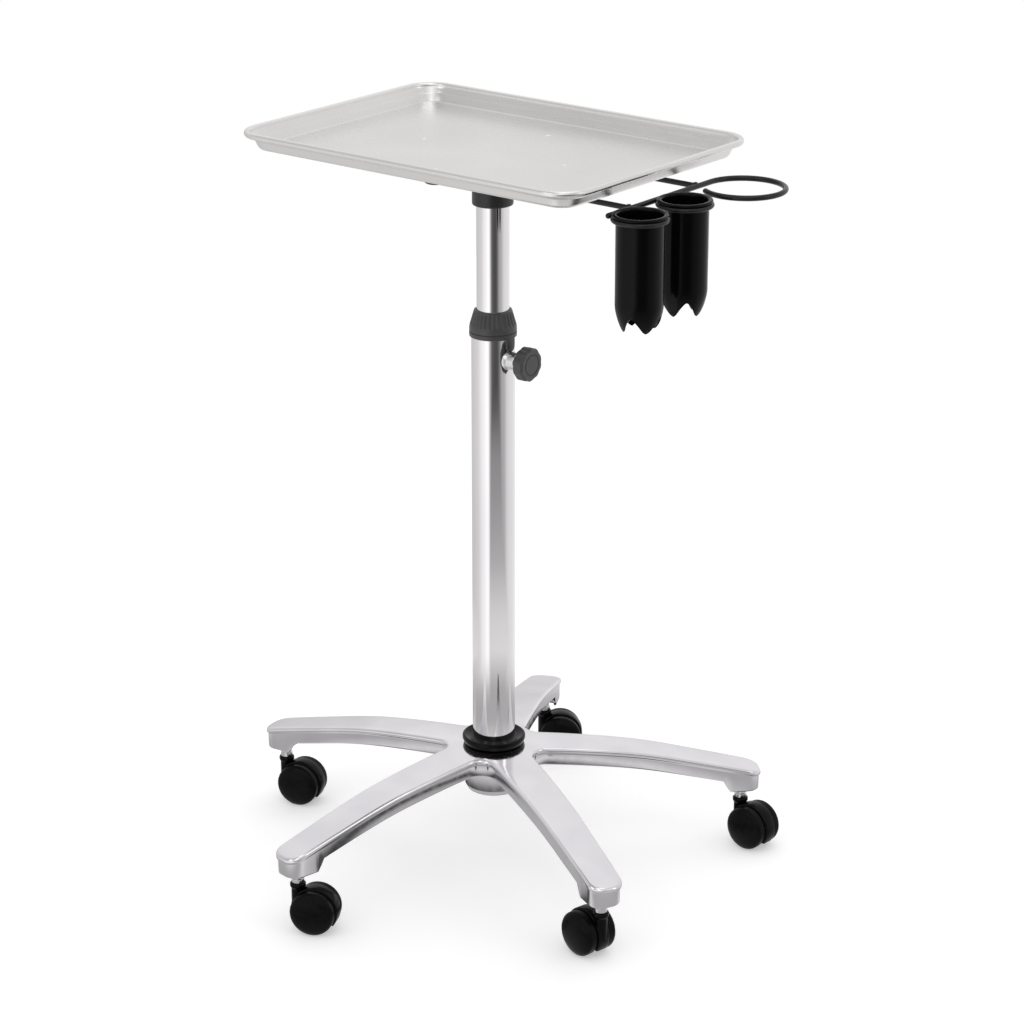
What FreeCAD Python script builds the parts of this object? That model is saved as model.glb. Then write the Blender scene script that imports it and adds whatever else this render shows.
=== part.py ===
import FreeCAD, Part
import math
import os

# Rolling tray cart: a five-star caster base, a telescoping column with a clamp knob,
# a shallow tray on a moulded cross bracket and a wire tool holder with two cups.
# Millimetres. Origin on the floor on the column axis, +Z up, +X toward the tool holder.
# Heights are built up from the floor, so each length carries whatever stands on it.

# Gap per side between pieces that run in each other
RUN = 0.05

# Casters: twin wheels on a swivelling hood, hung from a plated stem
WHEEL_R = 25.0
WHEEL_WIDTH = 16.0
WHEEL_TREAD = 7.5
WHEEL_EDGE = 1.2
WHEEL_GAP = 0.5
DOME_STEPS = 7
HOOD_HALF = 7.5
HOOD_RISE = 2.0
HOOD_CLEAR = 9.0
NECK_RISE = 5.0
NECK_R = 8.8
NECK_BAND = 6.0
NECK_EDGE = 0.8
NECK_FOOT_Z = 20.0
TRAIL = 20.0
TRAIL_DEGS = (-5.0, 38.0, 17.0, 23.0, 168.0)
AXLE_R = 3.0
AXLE_GRIP = 11.5
AXLE_TIP = 0.6
STEM_R = 5.5
STEM_DEPTH = 17.0
STEM_SHOW = 13.0
STEM_GRIP = 17.0
STEM_TIP = 1.0
FLANGE_STEP = 1.5
FLANGE_LIFT = 0.4
FLANGE_THICK = 4.1
SHANK_STEP = 0.4

WHEEL_IN = HOOD_HALF + WHEEL_GAP
WHEEL_OUT = WHEEL_IN + WHEEL_WIDTH
AXLE_HALF = WHEEL_IN + AXLE_GRIP
HOOD_R = WHEEL_R + HOOD_RISE
NECK_TOP_Z = 2 * WHEEL_R + NECK_RISE

# Star base: one polished casting with five arched arms
ARM_COUNT = 5
ARM_FIRST_DEG = 44.2
STEM_RADIUS = 287.0
TIP_MARGIN = 22.0
ARM_ROOT_HALF = 25.5
ARM_END_HALF = 19.5
ARM_CORNER_R = 16.0
CROTCH_R = 17.0
BLOCK_HEIGHT = 23.0
BLOCK_LENGTH = 40.0
ARCH_RISE = 47.0
ARCH_MID_FALL = 14.3
ARCH_QUARTER_SHARE = 0.38
ARCH_CROWN = 1.2
LIP_DEPTH = 6.0
LIP_OVERLAP = 1.0
SKIRT_INSET = 1.8
SKIRT_DEPTH = 21.0
CAST_WALL = 3.4
EDGE_ROUND = 2.6
HUB_R = 33.0
HUB_HEIGHT = 56.0
HUB_FLOOR = 12.0

ARM_TIP_R = STEM_RADIUS + TIP_MARGIN
ARM_MID_R = (HUB_R + ARM_TIP_R) / 2
BLOCK_FOOT_Z = NECK_TOP_Z + STEM_SHOW
ARM_TIP_Z = BLOCK_FOOT_Z + BLOCK_HEIGHT
HUB_TOP_Z = ARM_TIP_Z + ARCH_RISE
HUB_FOOT_Z = HUB_TOP_Z - HUB_HEIGHT
ARM_MID_Z = HUB_TOP_Z - ARCH_MID_FALL

# Ring, plug and bolt at the foot of the column
BASE_RING_R = 36.0
BASE_RING_H = 10.0
BASE_RING_WALL_H = 6.0
BASE_RING_STEP = 1.5
BASE_RING_TOP_STEP = 4.5
BASE_RING_TOP_FALL = 1.4
PLUG_LENGTH = 28.0
BOLT_R = 5.0
BOLT_GRIP = 22.0
BOLT_ROOM = 0.5
BOLT_HEAD = 16.0
BOLT_HEAD_H = 6.0
WASHER_R = 12.0
WASHER_H = 2.0

# Column: two bright tubes, shown with INSERT of the upper one inside the lower one
LOWER_R = 24.0
LOWER_WALL = 1.5
LOWER_LENGTH = 538.0
UPPER_R = 18.0
UPPER_WALL = 1.5
UPPER_LENGTH = 545.0
INSERT = 362.0
BUSH_EDGE = 1.2
GLIDE_FLOOR = 12.0
GLIDE_GRIP = 26.0
GLIDE_HOLE_R = 10.0
GUIDE_DEPTH = 26.0
GUIDE_LIP = 2.0

LOWER_FOOT_Z = HUB_FOOT_Z + HUB_FLOOR
LOWER_TOP_Z = LOWER_FOOT_Z + LOWER_LENGTH
UPPER_FOOT_Z = LOWER_TOP_Z - INSERT
UPPER_TOP_Z = UPPER_FOOT_Z + UPPER_LENGTH

# Collar over the top of the outer tube
COLLAR_SKIRT = 10.5
COLLAR_RISE = 19.0
COLLAR_STEP = 2.2
COLLAR_LIP = 3.0
COLLAR_GAP = 0.6
COLLAR_EDGE = 0.8
COLLAR_BAND = 5.0
GROOVE_DEPTH = 1.0
GROOVE_WIDTH = 1.0
SHOULDER_RISE = 2.3
SHOULDER_STEP = 0.6
COLLAR_RIBS = 28
RIB_CUT_R = 1.1
RIB_MARGIN = 2.5
TONGUE_HALF = 6.5
TONGUE_THICK = 1.8

COLLAR_FOOT_Z = LOWER_TOP_Z - COLLAR_SKIRT
COLLAR_TOP_Z = LOWER_TOP_Z + COLLAR_RISE
COLLAR_FOOT_R = LOWER_R + COLLAR_STEP
COLLAR_TOP_R = UPPER_R + COLLAR_LIP
SHOULDER_R = COLLAR_FOOT_R - SHOULDER_STEP
SHOULDER_Z = LOWER_TOP_Z + SHOULDER_RISE

# Clamp: a screw with a knob pushes a pad against the upper tube
CLAMP_DROP = 35.0
BOSS_R = 10.0
BOSS_STAND = 12.0
BOSS_WALL = 4.0
BOSS_ROUND = 1.2
PAD_R = 5.5
PAD_GAP = 0.4
PAD_LENGTH = 7.6
SCREW_R = 4.0
NOSE_R = 2.5
NOSE_LENGTH = 3.0
NOSE_GAP = 0.4
SHOULDER_GAP = 0.1
KNOB_R = 19.0
KNOB_THICK = 16.0
KNOB_GAP = 2.0
KNOB_HUB_R = 11.0
KNOB_HUB_H = 2.5
KNOB_HUB_SLOPE = 1.5
KNOB_BACK_SLOPE = 1.6
KNOB_ROUND = 2.4
KNOB_SOCKET = 10.0
KNOB_FLUTES = 10
FLUTE_R = 5.0
FLUTE_OUT = 4.1
KNOB_RING_R = 11.2
KNOB_RING_DEPTH = 0.8

CLAMP_Z = LOWER_TOP_Z - CLAMP_DROP
BOSS_END = LOWER_R + BOSS_STAND
PAD_REST = UPPER_R + PAD_GAP
KNOB_START = BOSS_END + KNOB_GAP

# Tray and the bracket under it
TRAY_LENGTH = 457.0
TRAY_WIDTH = 330.0
TRAY_CORNER_R = 36.0
TRAY_DEPTH = 20.0
SHEET = 1.0
FOLD_R = 4.0
FLARE = 14.0
BEAD_R = 3.5
TUBE_SEAT = 5.0
BRACKET_THICK = 15.0
BRACKET_REACH = 108.0
BRACKET_HALF = 12.5
BRACKET_ROUND = 3.0
SOCKET_WALL = 4.5
SOCKET_DROP = 42.0
SOCKET_ROUND = 4.0
SOCKET_FLARE = 8.0
SET_SCREW_R = 3.0
SET_SCREW_RISE = 18.0
SET_SCREW_KEY = 3.0
SET_SCREW_KEY_DEPTH = 2.5
SET_SCREW_SINK = 0.5
TRAY_SCREW_R = 2.0
TRAY_SCREW_INSET = 12.0
TRAY_SCREW_HEAD_R = 4.0
TRAY_SCREW_HEAD_H = 1.6
SCREW_FLOOR = 3.0

BRACKET_FOOT_Z = UPPER_TOP_Z - TUBE_SEAT
BRACKET_TOP_Z = BRACKET_FOOT_Z + BRACKET_THICK
FLOOR_TOP_Z = BRACKET_TOP_Z + SHEET
TRAY_TOP_Z = FLOOR_TOP_Z + TRAY_DEPTH
SOCKET_FOOT_Z = BRACKET_FOOT_Z - SOCKET_DROP
SOCKET_R = UPPER_R + SOCKET_WALL
SCREW_CIRCLE = BRACKET_REACH - TRAY_SCREW_INSET

# Tool holder: wire rods, a cross rod bent into an open ring, two cup rings, two cups
WIRE_SINK = 1.5
ROD_R = 3.0
ROD_Y = 58.5
ROD_TAIL = 17.0
ROD_TIP = 1.2
WELD_STEP = 1.3
WELD_LENGTH = 4.0
HOOK_R = 43.0
HOOK_Y = 82.0
HOOK_SWEEP = 305.0
CROSS_OVERHANG = 9.0
SADDLE_LENGTH = 20.0
SADDLE_WIDTH = 25.0
SADDLE_THICK = 5.0
SADDLE_ROUND = 2.0
SADDLE_EDGE = 1.0
SADDLE_SCREW_R = 1.75
SADDLE_SCREW_Y = 8.5
SADDLE_SCREW_GRIP = 9.0
SADDLE_HEAD_R = 3.2
SADDLE_HEAD_H = 1.8
SADDLE_KEY = 2.0
RING_OFFSET = 31.5
RING_WIRE_R = 2.5
RING_GAP = 0.3
RING_FACETS = 12
WELD_R = 1.9
WELD_RISE = 0.4
WELD_FALL = 0.9
CUP_YS = (-88.0, -11.0)
CUP_TURNS = (15.3, -45.3)
CUP_R = 25.0
CUP_WALL = 1.5
CUP_DEPTH = 118.0
CUP_TIP_R = 17.5
CUP_FLANGE = 4.0
CUP_FLANGE_H = 3.6
CUP_EDGE = 1.2
PETALS = 4
NOTCH_HEIGHT = 17.0
NOTCH_HALF = 11.0
NOTCH_ROUND = 2.2
NOTCH_RUNOUT = 2.0
TAPER_RISE = 10.0
TAPER_POWER = 1.7

WIRE_Z = BRACKET_FOOT_Z + WIRE_SINK
RING_R = CUP_R + RING_GAP + RING_WIRE_R
RING_X = TRAY_LENGTH / 2 + RING_OFFSET
CROSS_X = RING_X - RING_R - RING_WIRE_R - ROD_R
HOOK_X = CROSS_X + HOOK_R
CUP_MOUTH_Z = WIRE_Z + RING_WIRE_R
CUP_TIP_Z = CUP_MOUTH_Z - CUP_DEPTH
NOTCH_APEX_Z = CUP_TIP_Z + NOTCH_HEIGHT

# How far a cutting tool runs past the face it cuts
PAST = 2.0

X = FreeCAD.Vector(1, 0, 0)
Y = FreeCAD.Vector(0, 1, 0)
Z = FreeCAD.Vector(0, 0, 1)
ORIGIN = FreeCAD.Vector(0, 0, 0)

os.makedirs("parts", exist_ok=True)


def vec(x, y, z=0.0):
    return FreeCAD.Vector(x, y, z)


def unit(angle):
    return vec(math.cos(angle), math.sin(angle))


def save(name, shape):
    shape.exportStep("parts/" + name + ".step")


def pole(r, z0, z1, x=0.0, y=0.0):
    """Upright cylinder between two heights."""
    return Part.makeCylinder(r, z1 - z0, vec(x, y, z0), Z)


def bar(r, start, end, base, axis):
    """Cylinder along axis, from start to end as measured from base."""
    return Part.makeCylinder(r, end - start, base + axis * start, axis)


def tube(outer, inner, z0, z1):
    return pole(outer, z0, z1).cut(pole(inner, z0, z1))


def closed_face(edges):
    return Part.Face(Part.Wire(edges))


def polygon_face(points):
    return Part.Face(Part.makePolygon(points + [points[0]]))


def laid(shape, base, axis):
    """The shape, drawn upright on the origin, laid along axis from base."""
    shape.Placement = FreeCAD.Placement(base, FreeCAD.Rotation(Z, axis))
    return shape


def turned(points, base=ORIGIN, axis=Z):
    """Solid of revolution from (radius, height) points."""
    face = polygon_face([vec(r, 0.0, h) for r, h in points])
    return laid(face.revolve(ORIGIN, Z, 360), base, axis)


def hex_prism(across, height, base, axis=Z):
    corner = across / math.sqrt(3)
    points = [unit(math.radians(60 * k)) * corner for k in range(6)]
    return laid(polygon_face(points).extrude(Z * height), base, axis)


def spun(shape, degrees, centre=ORIGIN, axis=Z):
    copy = shape.copy()
    copy.rotate(centre, axis, degrees)
    return copy


def moved(shape, step):
    copy = shape.copy()
    copy.translate(step)
    return copy


def joined(shapes):
    return shapes[0].multiFuse(shapes[1:]).removeSplitter()


def edges_where(shape, test):
    return [edge for edge in shape.Edges if test(edge)]


def softened(shape, radius, edges):
    return shape.makeFillet(radius, edges) if edges else shape


def softened_foot(shape, radius):
    """Rounds the edges that lie in the lowest face."""
    foot = shape.BoundBox.ZMin
    return softened(shape, radius, edges_where(shape, lambda e: e.BoundBox.ZMax < foot + 0.01))


# Star base


def side_line(inset):
    """One side of an arm in the arm's own frame: slope angle and the half width at the axis."""
    run = ARM_TIP_R - LOWER_R
    slope = math.atan2(ARM_END_HALF - ARM_ROOT_HALF, run)
    start = ARM_ROOT_HALF - LOWER_R * math.tan(slope) - inset / math.cos(slope)
    return slope, start


def crotch(inset):
    """Fillet between neighbouring arms: centre on the bisector, touching point and radius."""
    slope, start = side_line(inset)
    half = math.pi / ARM_COUNT
    radius = CROTCH_R + inset
    reach = (radius + start * math.cos(slope)) / math.sin(half - slope)
    centre = unit(half) * reach
    touch = centre + vec(math.sin(slope), -math.cos(slope)) * radius
    return centre, touch, radius


def arm_end(inset):
    """The rounded corner at the arm's tip: its end on the side, its middle, its end on the tip."""
    slope, start = side_line(inset)
    radius = ARM_CORNER_R - inset
    cx = ARM_TIP_R - inset - radius
    cy = start + cx * math.tan(slope) - radius / math.cos(slope)
    centre = vec(cx, cy)
    on_side = centre + vec(-math.sin(slope), math.cos(slope)) * radius
    on_end = centre + vec(radius, 0)
    middle = centre + unit((math.pi / 2 + slope) / 2) * radius
    return on_side, middle, on_end


def mirror_y(point):
    return vec(point.x, -point.y, point.z)


def turn(point, angle):
    c = math.cos(angle)
    s = math.sin(angle)
    return vec(point.x * c - point.y * s, point.x * s + point.y * c, point.z)


def arm_edges(inset, angle):
    """Outline edges of one arm and of the crotch that follows it."""
    side, middle, end = arm_end(inset)
    centre, touch, radius = crotch(inset)
    half = math.pi / ARM_COUNT
    crotch_mid = unit(half) * (centre.Length - radius)
    next_touch = turn(mirror_y(touch), 2 * half)
    path = [mirror_y(touch), mirror_y(side), mirror_y(middle), mirror_y(end)]
    path += [end, middle, side, touch, crotch_mid, next_touch]
    p = [turn(point, angle) for point in path]
    edges = [Part.makeLine(p[0], p[1]), Part.Arc(p[1], p[2], p[3]).toShape()]
    edges += [Part.makeLine(p[3], p[4]), Part.Arc(p[4], p[5], p[6]).toShape()]
    edges += [Part.makeLine(p[6], p[7]), Part.Arc(p[7], p[8], p[9]).toShape()]
    return edges


def arm_angles():
    return [math.radians(ARM_FIRST_DEG + k * 360.0 / ARM_COUNT) for k in range(ARM_COUNT)]


def stem_places():
    return [unit(angle) * STEM_RADIUS for angle in arm_angles()]


def star_prism(inset, z0, z1):
    """The star's outline, drawn in by inset, as an upright prism."""
    edges = []
    for angle in arm_angles():
        edges += arm_edges(inset, angle)
    return moved(closed_face(edges), vec(0, 0, z0)).extrude(vec(0, 0, z1 - z0))


def arch_curve(drop):
    """Edge that follows the top of the arms in the XZ plane, lowered by drop."""
    quarter_r = (HUB_R + ARM_MID_R) / 2
    quarter_z = HUB_TOP_Z - ARCH_QUARTER_SHARE * ARCH_MID_FALL
    last_r = (ARM_MID_R + ARM_TIP_R) / 2
    last_z = (ARM_MID_Z + ARM_TIP_Z) / 2 + ARCH_CROWN
    heights = [(HUB_R, HUB_TOP_Z), (quarter_r, quarter_z), (ARM_MID_R, ARM_MID_Z)]
    heights += [(last_r, last_z), (ARM_TIP_R + PAST, ARM_TIP_Z)]
    points = [vec(r, 0, z - drop) for r, z in heights]
    spline = Part.BSplineCurve()
    spline.interpolate(points)
    return spline.toShape(), points[0], points[-1]


def dome(drop, floor):
    """Body of revolution under the arch, from the floor height up to the arch lowered by drop."""
    curve, first, last = arch_curve(drop)
    hub = vec(0, 0, first.z)
    foot = vec(last.x, 0, floor)
    axis_foot = vec(0, 0, floor)
    edges = [Part.makeLine(axis_foot, foot), Part.makeLine(foot, last), curve]
    edges += [Part.makeLine(first, hub), Part.makeLine(hub, axis_foot)]
    return closed_face(edges).revolve(ORIGIN, Z, 360)


def arch_height(r):
    curve = arch_curve(0.0)[0]
    probe = Part.makeLine(vec(r, 0, 0), vec(r, 0, 2 * HUB_TOP_Z))
    hit = curve.distToShape(probe)[1]
    return hit[0][0].z


def on_top_rim(edge):
    """True for the long edges where the arms' sides meet the arched top."""
    mid = edge.valueAt((edge.FirstParameter + edge.LastParameter) / 2)
    r = math.hypot(mid.x, mid.y)
    return r > HUB_R and edge.Length > 1.0 and mid.z > arch_height(r) - 0.6


def star_plate(floor):
    """The arched top of the star, with its long edges rounded."""
    shell = dome(0.0, floor).cut(dome(LIP_DEPTH, floor))
    plate = star_prism(0.0, floor, HUB_TOP_Z).common(shell)
    return softened(plate, EDGE_ROUND, edges_where(plate, on_top_rim))


def star_skirt(floor):
    """Side walls under the plate, open below."""
    band = dome(LIP_DEPTH - LIP_OVERLAP, floor).cut(dome(SKIRT_DEPTH, floor))
    walls = star_prism(SKIRT_INSET, floor, HUB_TOP_Z).common(band)
    hollow = star_prism(SKIRT_INSET + CAST_WALL, floor, HUB_TOP_Z).common(dome(LIP_DEPTH, floor))
    return walls.cut(hollow)


def end_blocks(floor):
    """Rounded posts at the arm tips that carry the caster stems."""
    ring = tube(ARM_TIP_R + PAST, ARM_TIP_R - BLOCK_LENGTH, BLOCK_FOOT_Z, HUB_TOP_Z)
    posts = star_prism(SKIRT_INSET, BLOCK_FOOT_Z, HUB_TOP_Z).common(ring)
    return posts.common(dome(LIP_DEPTH - LIP_OVERLAP, floor))


def star_base():
    floor = BLOCK_FOOT_Z - PAST
    hub = pole(HUB_R, HUB_FOOT_Z, HUB_TOP_Z - LIP_DEPTH + LIP_OVERLAP)
    body = star_plate(floor).multiFuse([star_skirt(floor), end_blocks(floor), hub])
    body = body.cut(pole(LOWER_R, LOWER_FOOT_Z, HUB_TOP_Z + PAST))
    body = body.cut(pole(BOLT_R + BOLT_ROOM, HUB_FOOT_Z - PAST, LOWER_FOOT_Z + PAST))
    for p in stem_places():
        body = body.cut(pole(STEM_R, BLOCK_FOOT_Z - PAST, BLOCK_FOOT_Z + STEM_GRIP, p.x, p.y))
    return body.removeSplitter()


def base_ring():
    """Flared black dish that covers the joint between the star and the column."""
    r = BASE_RING_R
    shoulder = BASE_RING_H - BASE_RING_TOP_FALL
    profile = [(LOWER_R, 0), (r, 0), (r, BASE_RING_WALL_H), (r - BASE_RING_STEP, shoulder)]
    profile += [(r - BASE_RING_TOP_STEP, BASE_RING_H), (LOWER_R, BASE_RING_H)]
    return turned(profile, vec(0, 0, HUB_TOP_Z))


def column_foot():
    """Plug in the foot of the outer tube, tapped for the bolt."""
    plug = pole(LOWER_R - LOWER_WALL, LOWER_FOOT_Z, LOWER_FOOT_Z + PLUG_LENGTH)
    return plug.cut(pole(BOLT_R, LOWER_FOOT_Z, LOWER_FOOT_Z + BOLT_GRIP))


def foot_bolt():
    seat = HUB_FOOT_Z - WASHER_H
    shank = pole(BOLT_R, seat, LOWER_FOOT_Z + BOLT_GRIP)
    washer = pole(WASHER_R, seat, HUB_FOOT_Z)
    head = hex_prism(BOLT_HEAD, BOLT_HEAD_H, vec(0, 0, seat - BOLT_HEAD_H))
    return joined([shank, washer, head])


# Column


def outer_tube():
    body = tube(LOWER_R, LOWER_R - LOWER_WALL, LOWER_FOOT_Z, LOWER_TOP_Z)
    return body.cut(bar(PAD_R + RUN, 0, LOWER_R + PAST, vec(0, 0, CLAMP_Z), X))


def upper_tube():
    return tube(UPPER_R, UPPER_R - UPPER_WALL, UPPER_FOOT_Z, UPPER_TOP_Z)


def glide_bush():
    """Cup-shaped bush that the upper tube stands in, sliding in the outer tube."""
    foot = UPPER_FOOT_Z - GLIDE_FLOOR
    top = UPPER_FOOT_Z + GLIDE_GRIP
    outer = LOWER_R - LOWER_WALL - RUN
    bore = UPPER_R + RUN
    edge = BUSH_EDGE
    profile = [(GLIDE_HOLE_R, foot), (outer - edge, foot), (outer, foot + edge), (outer, top - edge)]
    profile += [(outer - edge, top), (bore, top), (bore, UPPER_FOOT_Z), (GLIDE_HOLE_R, UPPER_FOOT_Z)]
    return turned(profile)


def guide_bush():
    """Bush at the mouth of the outer tube that the upper tube runs through."""
    bore = UPPER_R + RUN
    body = tube(LOWER_R - LOWER_WALL, bore, LOWER_TOP_Z - GUIDE_DEPTH, LOWER_TOP_Z)
    lip = tube(LOWER_R, bore, LOWER_TOP_Z, LOWER_TOP_Z + GUIDE_LIP)
    return body.fuse(lip).removeSplitter()


# Collar and clamp


def collar_profile():
    """Half section of the collar: plain band, groove, shoulder and tapered top."""
    foot = COLLAR_FOOT_Z
    edge = COLLAR_EDGE
    band = foot + COLLAR_BAND
    groove_r = COLLAR_FOOT_R - GROOVE_DEPTH
    inner = UPPER_R + COLLAR_GAP
    roof = LOWER_TOP_Z + GUIDE_LIP
    points = [(LOWER_R, foot), (COLLAR_FOOT_R - edge, foot), (COLLAR_FOOT_R, foot + edge)]
    points += [(COLLAR_FOOT_R, band), (groove_r, band + edge / 2), (groove_r, band + edge / 2 + GROOVE_WIDTH)]
    points += [(COLLAR_FOOT_R - edge / 2, band + edge + GROOVE_WIDTH), (SHOULDER_R, SHOULDER_Z)]
    points += [(COLLAR_TOP_R, COLLAR_TOP_Z - edge), (COLLAR_TOP_R - edge, COLLAR_TOP_Z)]
    return points + [(inner, COLLAR_TOP_Z), (inner, roof), (LOWER_R, roof)]


def collar_ribs():
    """Narrow flutes round the tapered part of the collar."""
    drop = SHOULDER_R - COLLAR_TOP_R
    rise = COLLAR_TOP_Z - COLLAR_EDGE - SHOULDER_Z
    start = vec(SHOULDER_R + RUN, 0, SHOULDER_Z)
    rod = bar(RIB_CUT_R, RUN, math.hypot(drop, rise) - RIB_MARGIN, start, Z)
    rod = spun(rod, -math.degrees(math.atan2(drop, rise)), start, Y)
    return [spun(rod, (k + 0.5) * 360.0 / COLLAR_RIBS) for k in range(COLLAR_RIBS)]


def clamp_collar():
    body = turned(collar_profile()).cut(collar_ribs())
    foot = CLAMP_Z + BOSS_R
    top = COLLAR_FOOT_Z + COLLAR_BAND / 2
    sleeve = tube(LOWER_R + TONGUE_THICK, LOWER_R, foot, top)
    strip = Part.makeBox(2 * LOWER_R, 2 * TONGUE_HALF, top - foot, vec(0, -TONGUE_HALF, foot))
    return body.fuse(sleeve.common(strip)).removeSplitter()


def clamp_boss():
    """Round boss on the side of the outer tube, bored for the pad and the screw."""
    axis = vec(0, 0, CLAMP_Z)
    outer = bar(BOSS_R, 0, BOSS_END, axis, X)
    face = edges_where(outer, lambda e: e.BoundBox.XMin > BOSS_END - 0.1)
    outer = softened(outer, BOSS_ROUND, face)
    body = outer.cut(pole(LOWER_R, CLAMP_Z - 2 * BOSS_R, CLAMP_Z + 2 * BOSS_R))
    body = body.cut(bar(PAD_R + RUN, 0, BOSS_END - BOSS_WALL, axis, X))
    return body.cut(bar(SCREW_R + RUN, 0, BOSS_END + PAST, axis, X))


def clamp_pad():
    end = PAD_REST + PAD_LENGTH
    axis = vec(0, 0, CLAMP_Z)
    body = bar(PAD_R, PAD_REST, end, axis, X)
    return body.cut(bar(NOSE_R + RUN, end - NOSE_LENGTH, end, axis, X))


def clamp_screw():
    axis = vec(0, 0, CLAMP_Z)
    shoulder = PAD_REST + PAD_LENGTH + SHOULDER_GAP
    shank = bar(SCREW_R, shoulder, KNOB_START + KNOB_SOCKET, axis, X)
    nose = bar(NOSE_R, PAD_REST + PAD_LENGTH - NOSE_LENGTH + NOSE_GAP, shoulder + 1.0, axis, X)
    return joined([shank, nose])


def knob_flutes(base):
    cuts = []
    for k in range(KNOB_FLUTES):
        around = unit(math.radians((k + 0.5) * 360.0 / KNOB_FLUTES)) * (KNOB_R + FLUTE_OUT)
        cuts.append(bar(FLUTE_R, -PAST, KNOB_THICK + PAST, base + vec(0, around.x, around.y), X))
    return cuts


def clamp_knob():
    """Fluted knob with a ring groove in its face."""
    base = vec(KNOB_START, 0, CLAMP_Z)
    h = KNOB_THICK
    r = KNOB_R
    slope = KNOB_BACK_SLOPE
    points = [(0, 0), (KNOB_HUB_R - KNOB_HUB_SLOPE, 0), (KNOB_HUB_R, KNOB_HUB_H), (r - slope, KNOB_HUB_H)]
    points += [(r, KNOB_HUB_H + slope), (r, h - KNOB_ROUND), (r - KNOB_ROUND, h)]
    points += [(KNOB_RING_R + 1.2, h), (KNOB_RING_R + 0.4, h - KNOB_RING_DEPTH)]
    points += [(KNOB_RING_R - 0.4, h - KNOB_RING_DEPTH), (KNOB_RING_R - 1.2, h), (0, h)]
    body = turned(points, base, X).cut(knob_flutes(base))
    return body.cut(bar(SCREW_R, -PAST, KNOB_SOCKET, base, X))


# Tray and bracket


def rounded_wire(length, width, radius, z):
    """Rectangle with round corners, centred on the column, at height z."""
    a = length / 2
    b = width / 2
    k = radius * (1 - math.sqrt(0.5))
    edges = []
    signs = ((1, 1), (-1, 1), (-1, -1), (1, -1))
    for i, (sx, sy) in enumerate(signs):
        side = vec(sx * a, sy * (b - radius), z)
        mid = vec(sx * (a - k), sy * (b - k), z)
        end = vec(sx * (a - radius), sy * b, z)
        first, last = (side, end) if sx * sy > 0 else (end, side)
        nx, ny = signs[(i + 1) % 4]
        on_long = vec(nx * (a - radius), ny * b, z)
        on_short = vec(nx * a, ny * (b - radius), z)
        follow = on_long if nx * ny < 0 else on_short
        edges += [Part.Arc(first, mid, last).toShape(), Part.makeLine(last, follow)]
    return Part.Wire(edges)


def tray_block(grow, z0, z1):
    """Flared block with a rounded foot, grown outward by grow on every side."""
    low = rounded_wire(TRAY_LENGTH - 2 * FLARE + 2 * grow, TRAY_WIDTH - 2 * FLARE + 2 * grow,
                       TRAY_CORNER_R - FLARE + grow, z0)
    lean = BEAD_R - grow
    high = rounded_wire(TRAY_LENGTH - 2 * lean, TRAY_WIDTH - 2 * lean, TRAY_CORNER_R - lean, z1)
    block = Part.makeLoft([low, high], True, True)
    return softened_foot(block, FOLD_R + grow)


def rolled_rim(z):
    """Round bead that runs along the tray's edge."""
    centre = rounded_wire(TRAY_LENGTH - 2 * BEAD_R, TRAY_WIDTH - 2 * BEAD_R, TRAY_CORNER_R - BEAD_R, z)
    edge = centre.Edges[1]
    section = Part.makeCircle(BEAD_R, edge.valueAt(edge.FirstParameter), edge.tangentAt(edge.FirstParameter))
    return centre.makePipeShell([Part.Wire(section)], True, True)


def tray():
    rim_z = TRAY_TOP_Z - BEAD_R
    outer = tray_block(SHEET, BRACKET_TOP_Z, rim_z)
    inner = tray_block(0.0, FLOOR_TOP_Z, rim_z)
    return outer.cut(inner).fuse(rolled_rim(rim_z))


def screw_places():
    return [spun_point * SCREW_CIRCLE for spun_point in (X, Y, X * -1, Y * -1)]


def tray_screw(p):
    """Screw that hangs from its flat head under the tray's floor."""
    shank = pole(TRAY_SCREW_R, BRACKET_FOOT_Z + SCREW_FLOOR, BRACKET_TOP_Z, p.x, p.y)
    head = pole(TRAY_SCREW_HEAD_R, BRACKET_TOP_Z - TRAY_SCREW_HEAD_H, BRACKET_TOP_Z, p.x, p.y)
    return shank.fuse(head).removeSplitter()


def tray_screws():
    """Four screws, welded by their heads to the tray's underside, that fix it to the bracket."""
    return Part.makeCompound([tray_screw(p) for p in screw_places()])


def bracket_arm():
    """Flat bar with round ends along X, rounded below."""
    run = BRACKET_REACH - BRACKET_HALF
    box = Part.makeBox(2 * run, 2 * BRACKET_HALF, BRACKET_THICK, vec(-run, -BRACKET_HALF, BRACKET_FOOT_Z))
    ends = [pole(BRACKET_HALF, BRACKET_FOOT_Z, BRACKET_TOP_Z, side * run) for side in (-1, 1)]
    return softened_foot(joined([box] + ends), BRACKET_ROUND)


def rod_groove(y):
    """Channel across the foot of the bracket's arm that a holder rod lies in."""
    half = BRACKET_HALF + PAST
    floor = BRACKET_FOOT_Z - PAST
    round_part = bar(ROD_R, -half, half, vec(0, y, WIRE_Z), X)
    slot = Part.makeBox(2 * half, 2 * ROD_R, WIRE_Z - floor, vec(-half, y - ROD_R, floor))
    return round_part.fuse(slot)


def saddle_screw_places(y):
    return [y - SADDLE_SCREW_Y, y + SADDLE_SCREW_Y]


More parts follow.
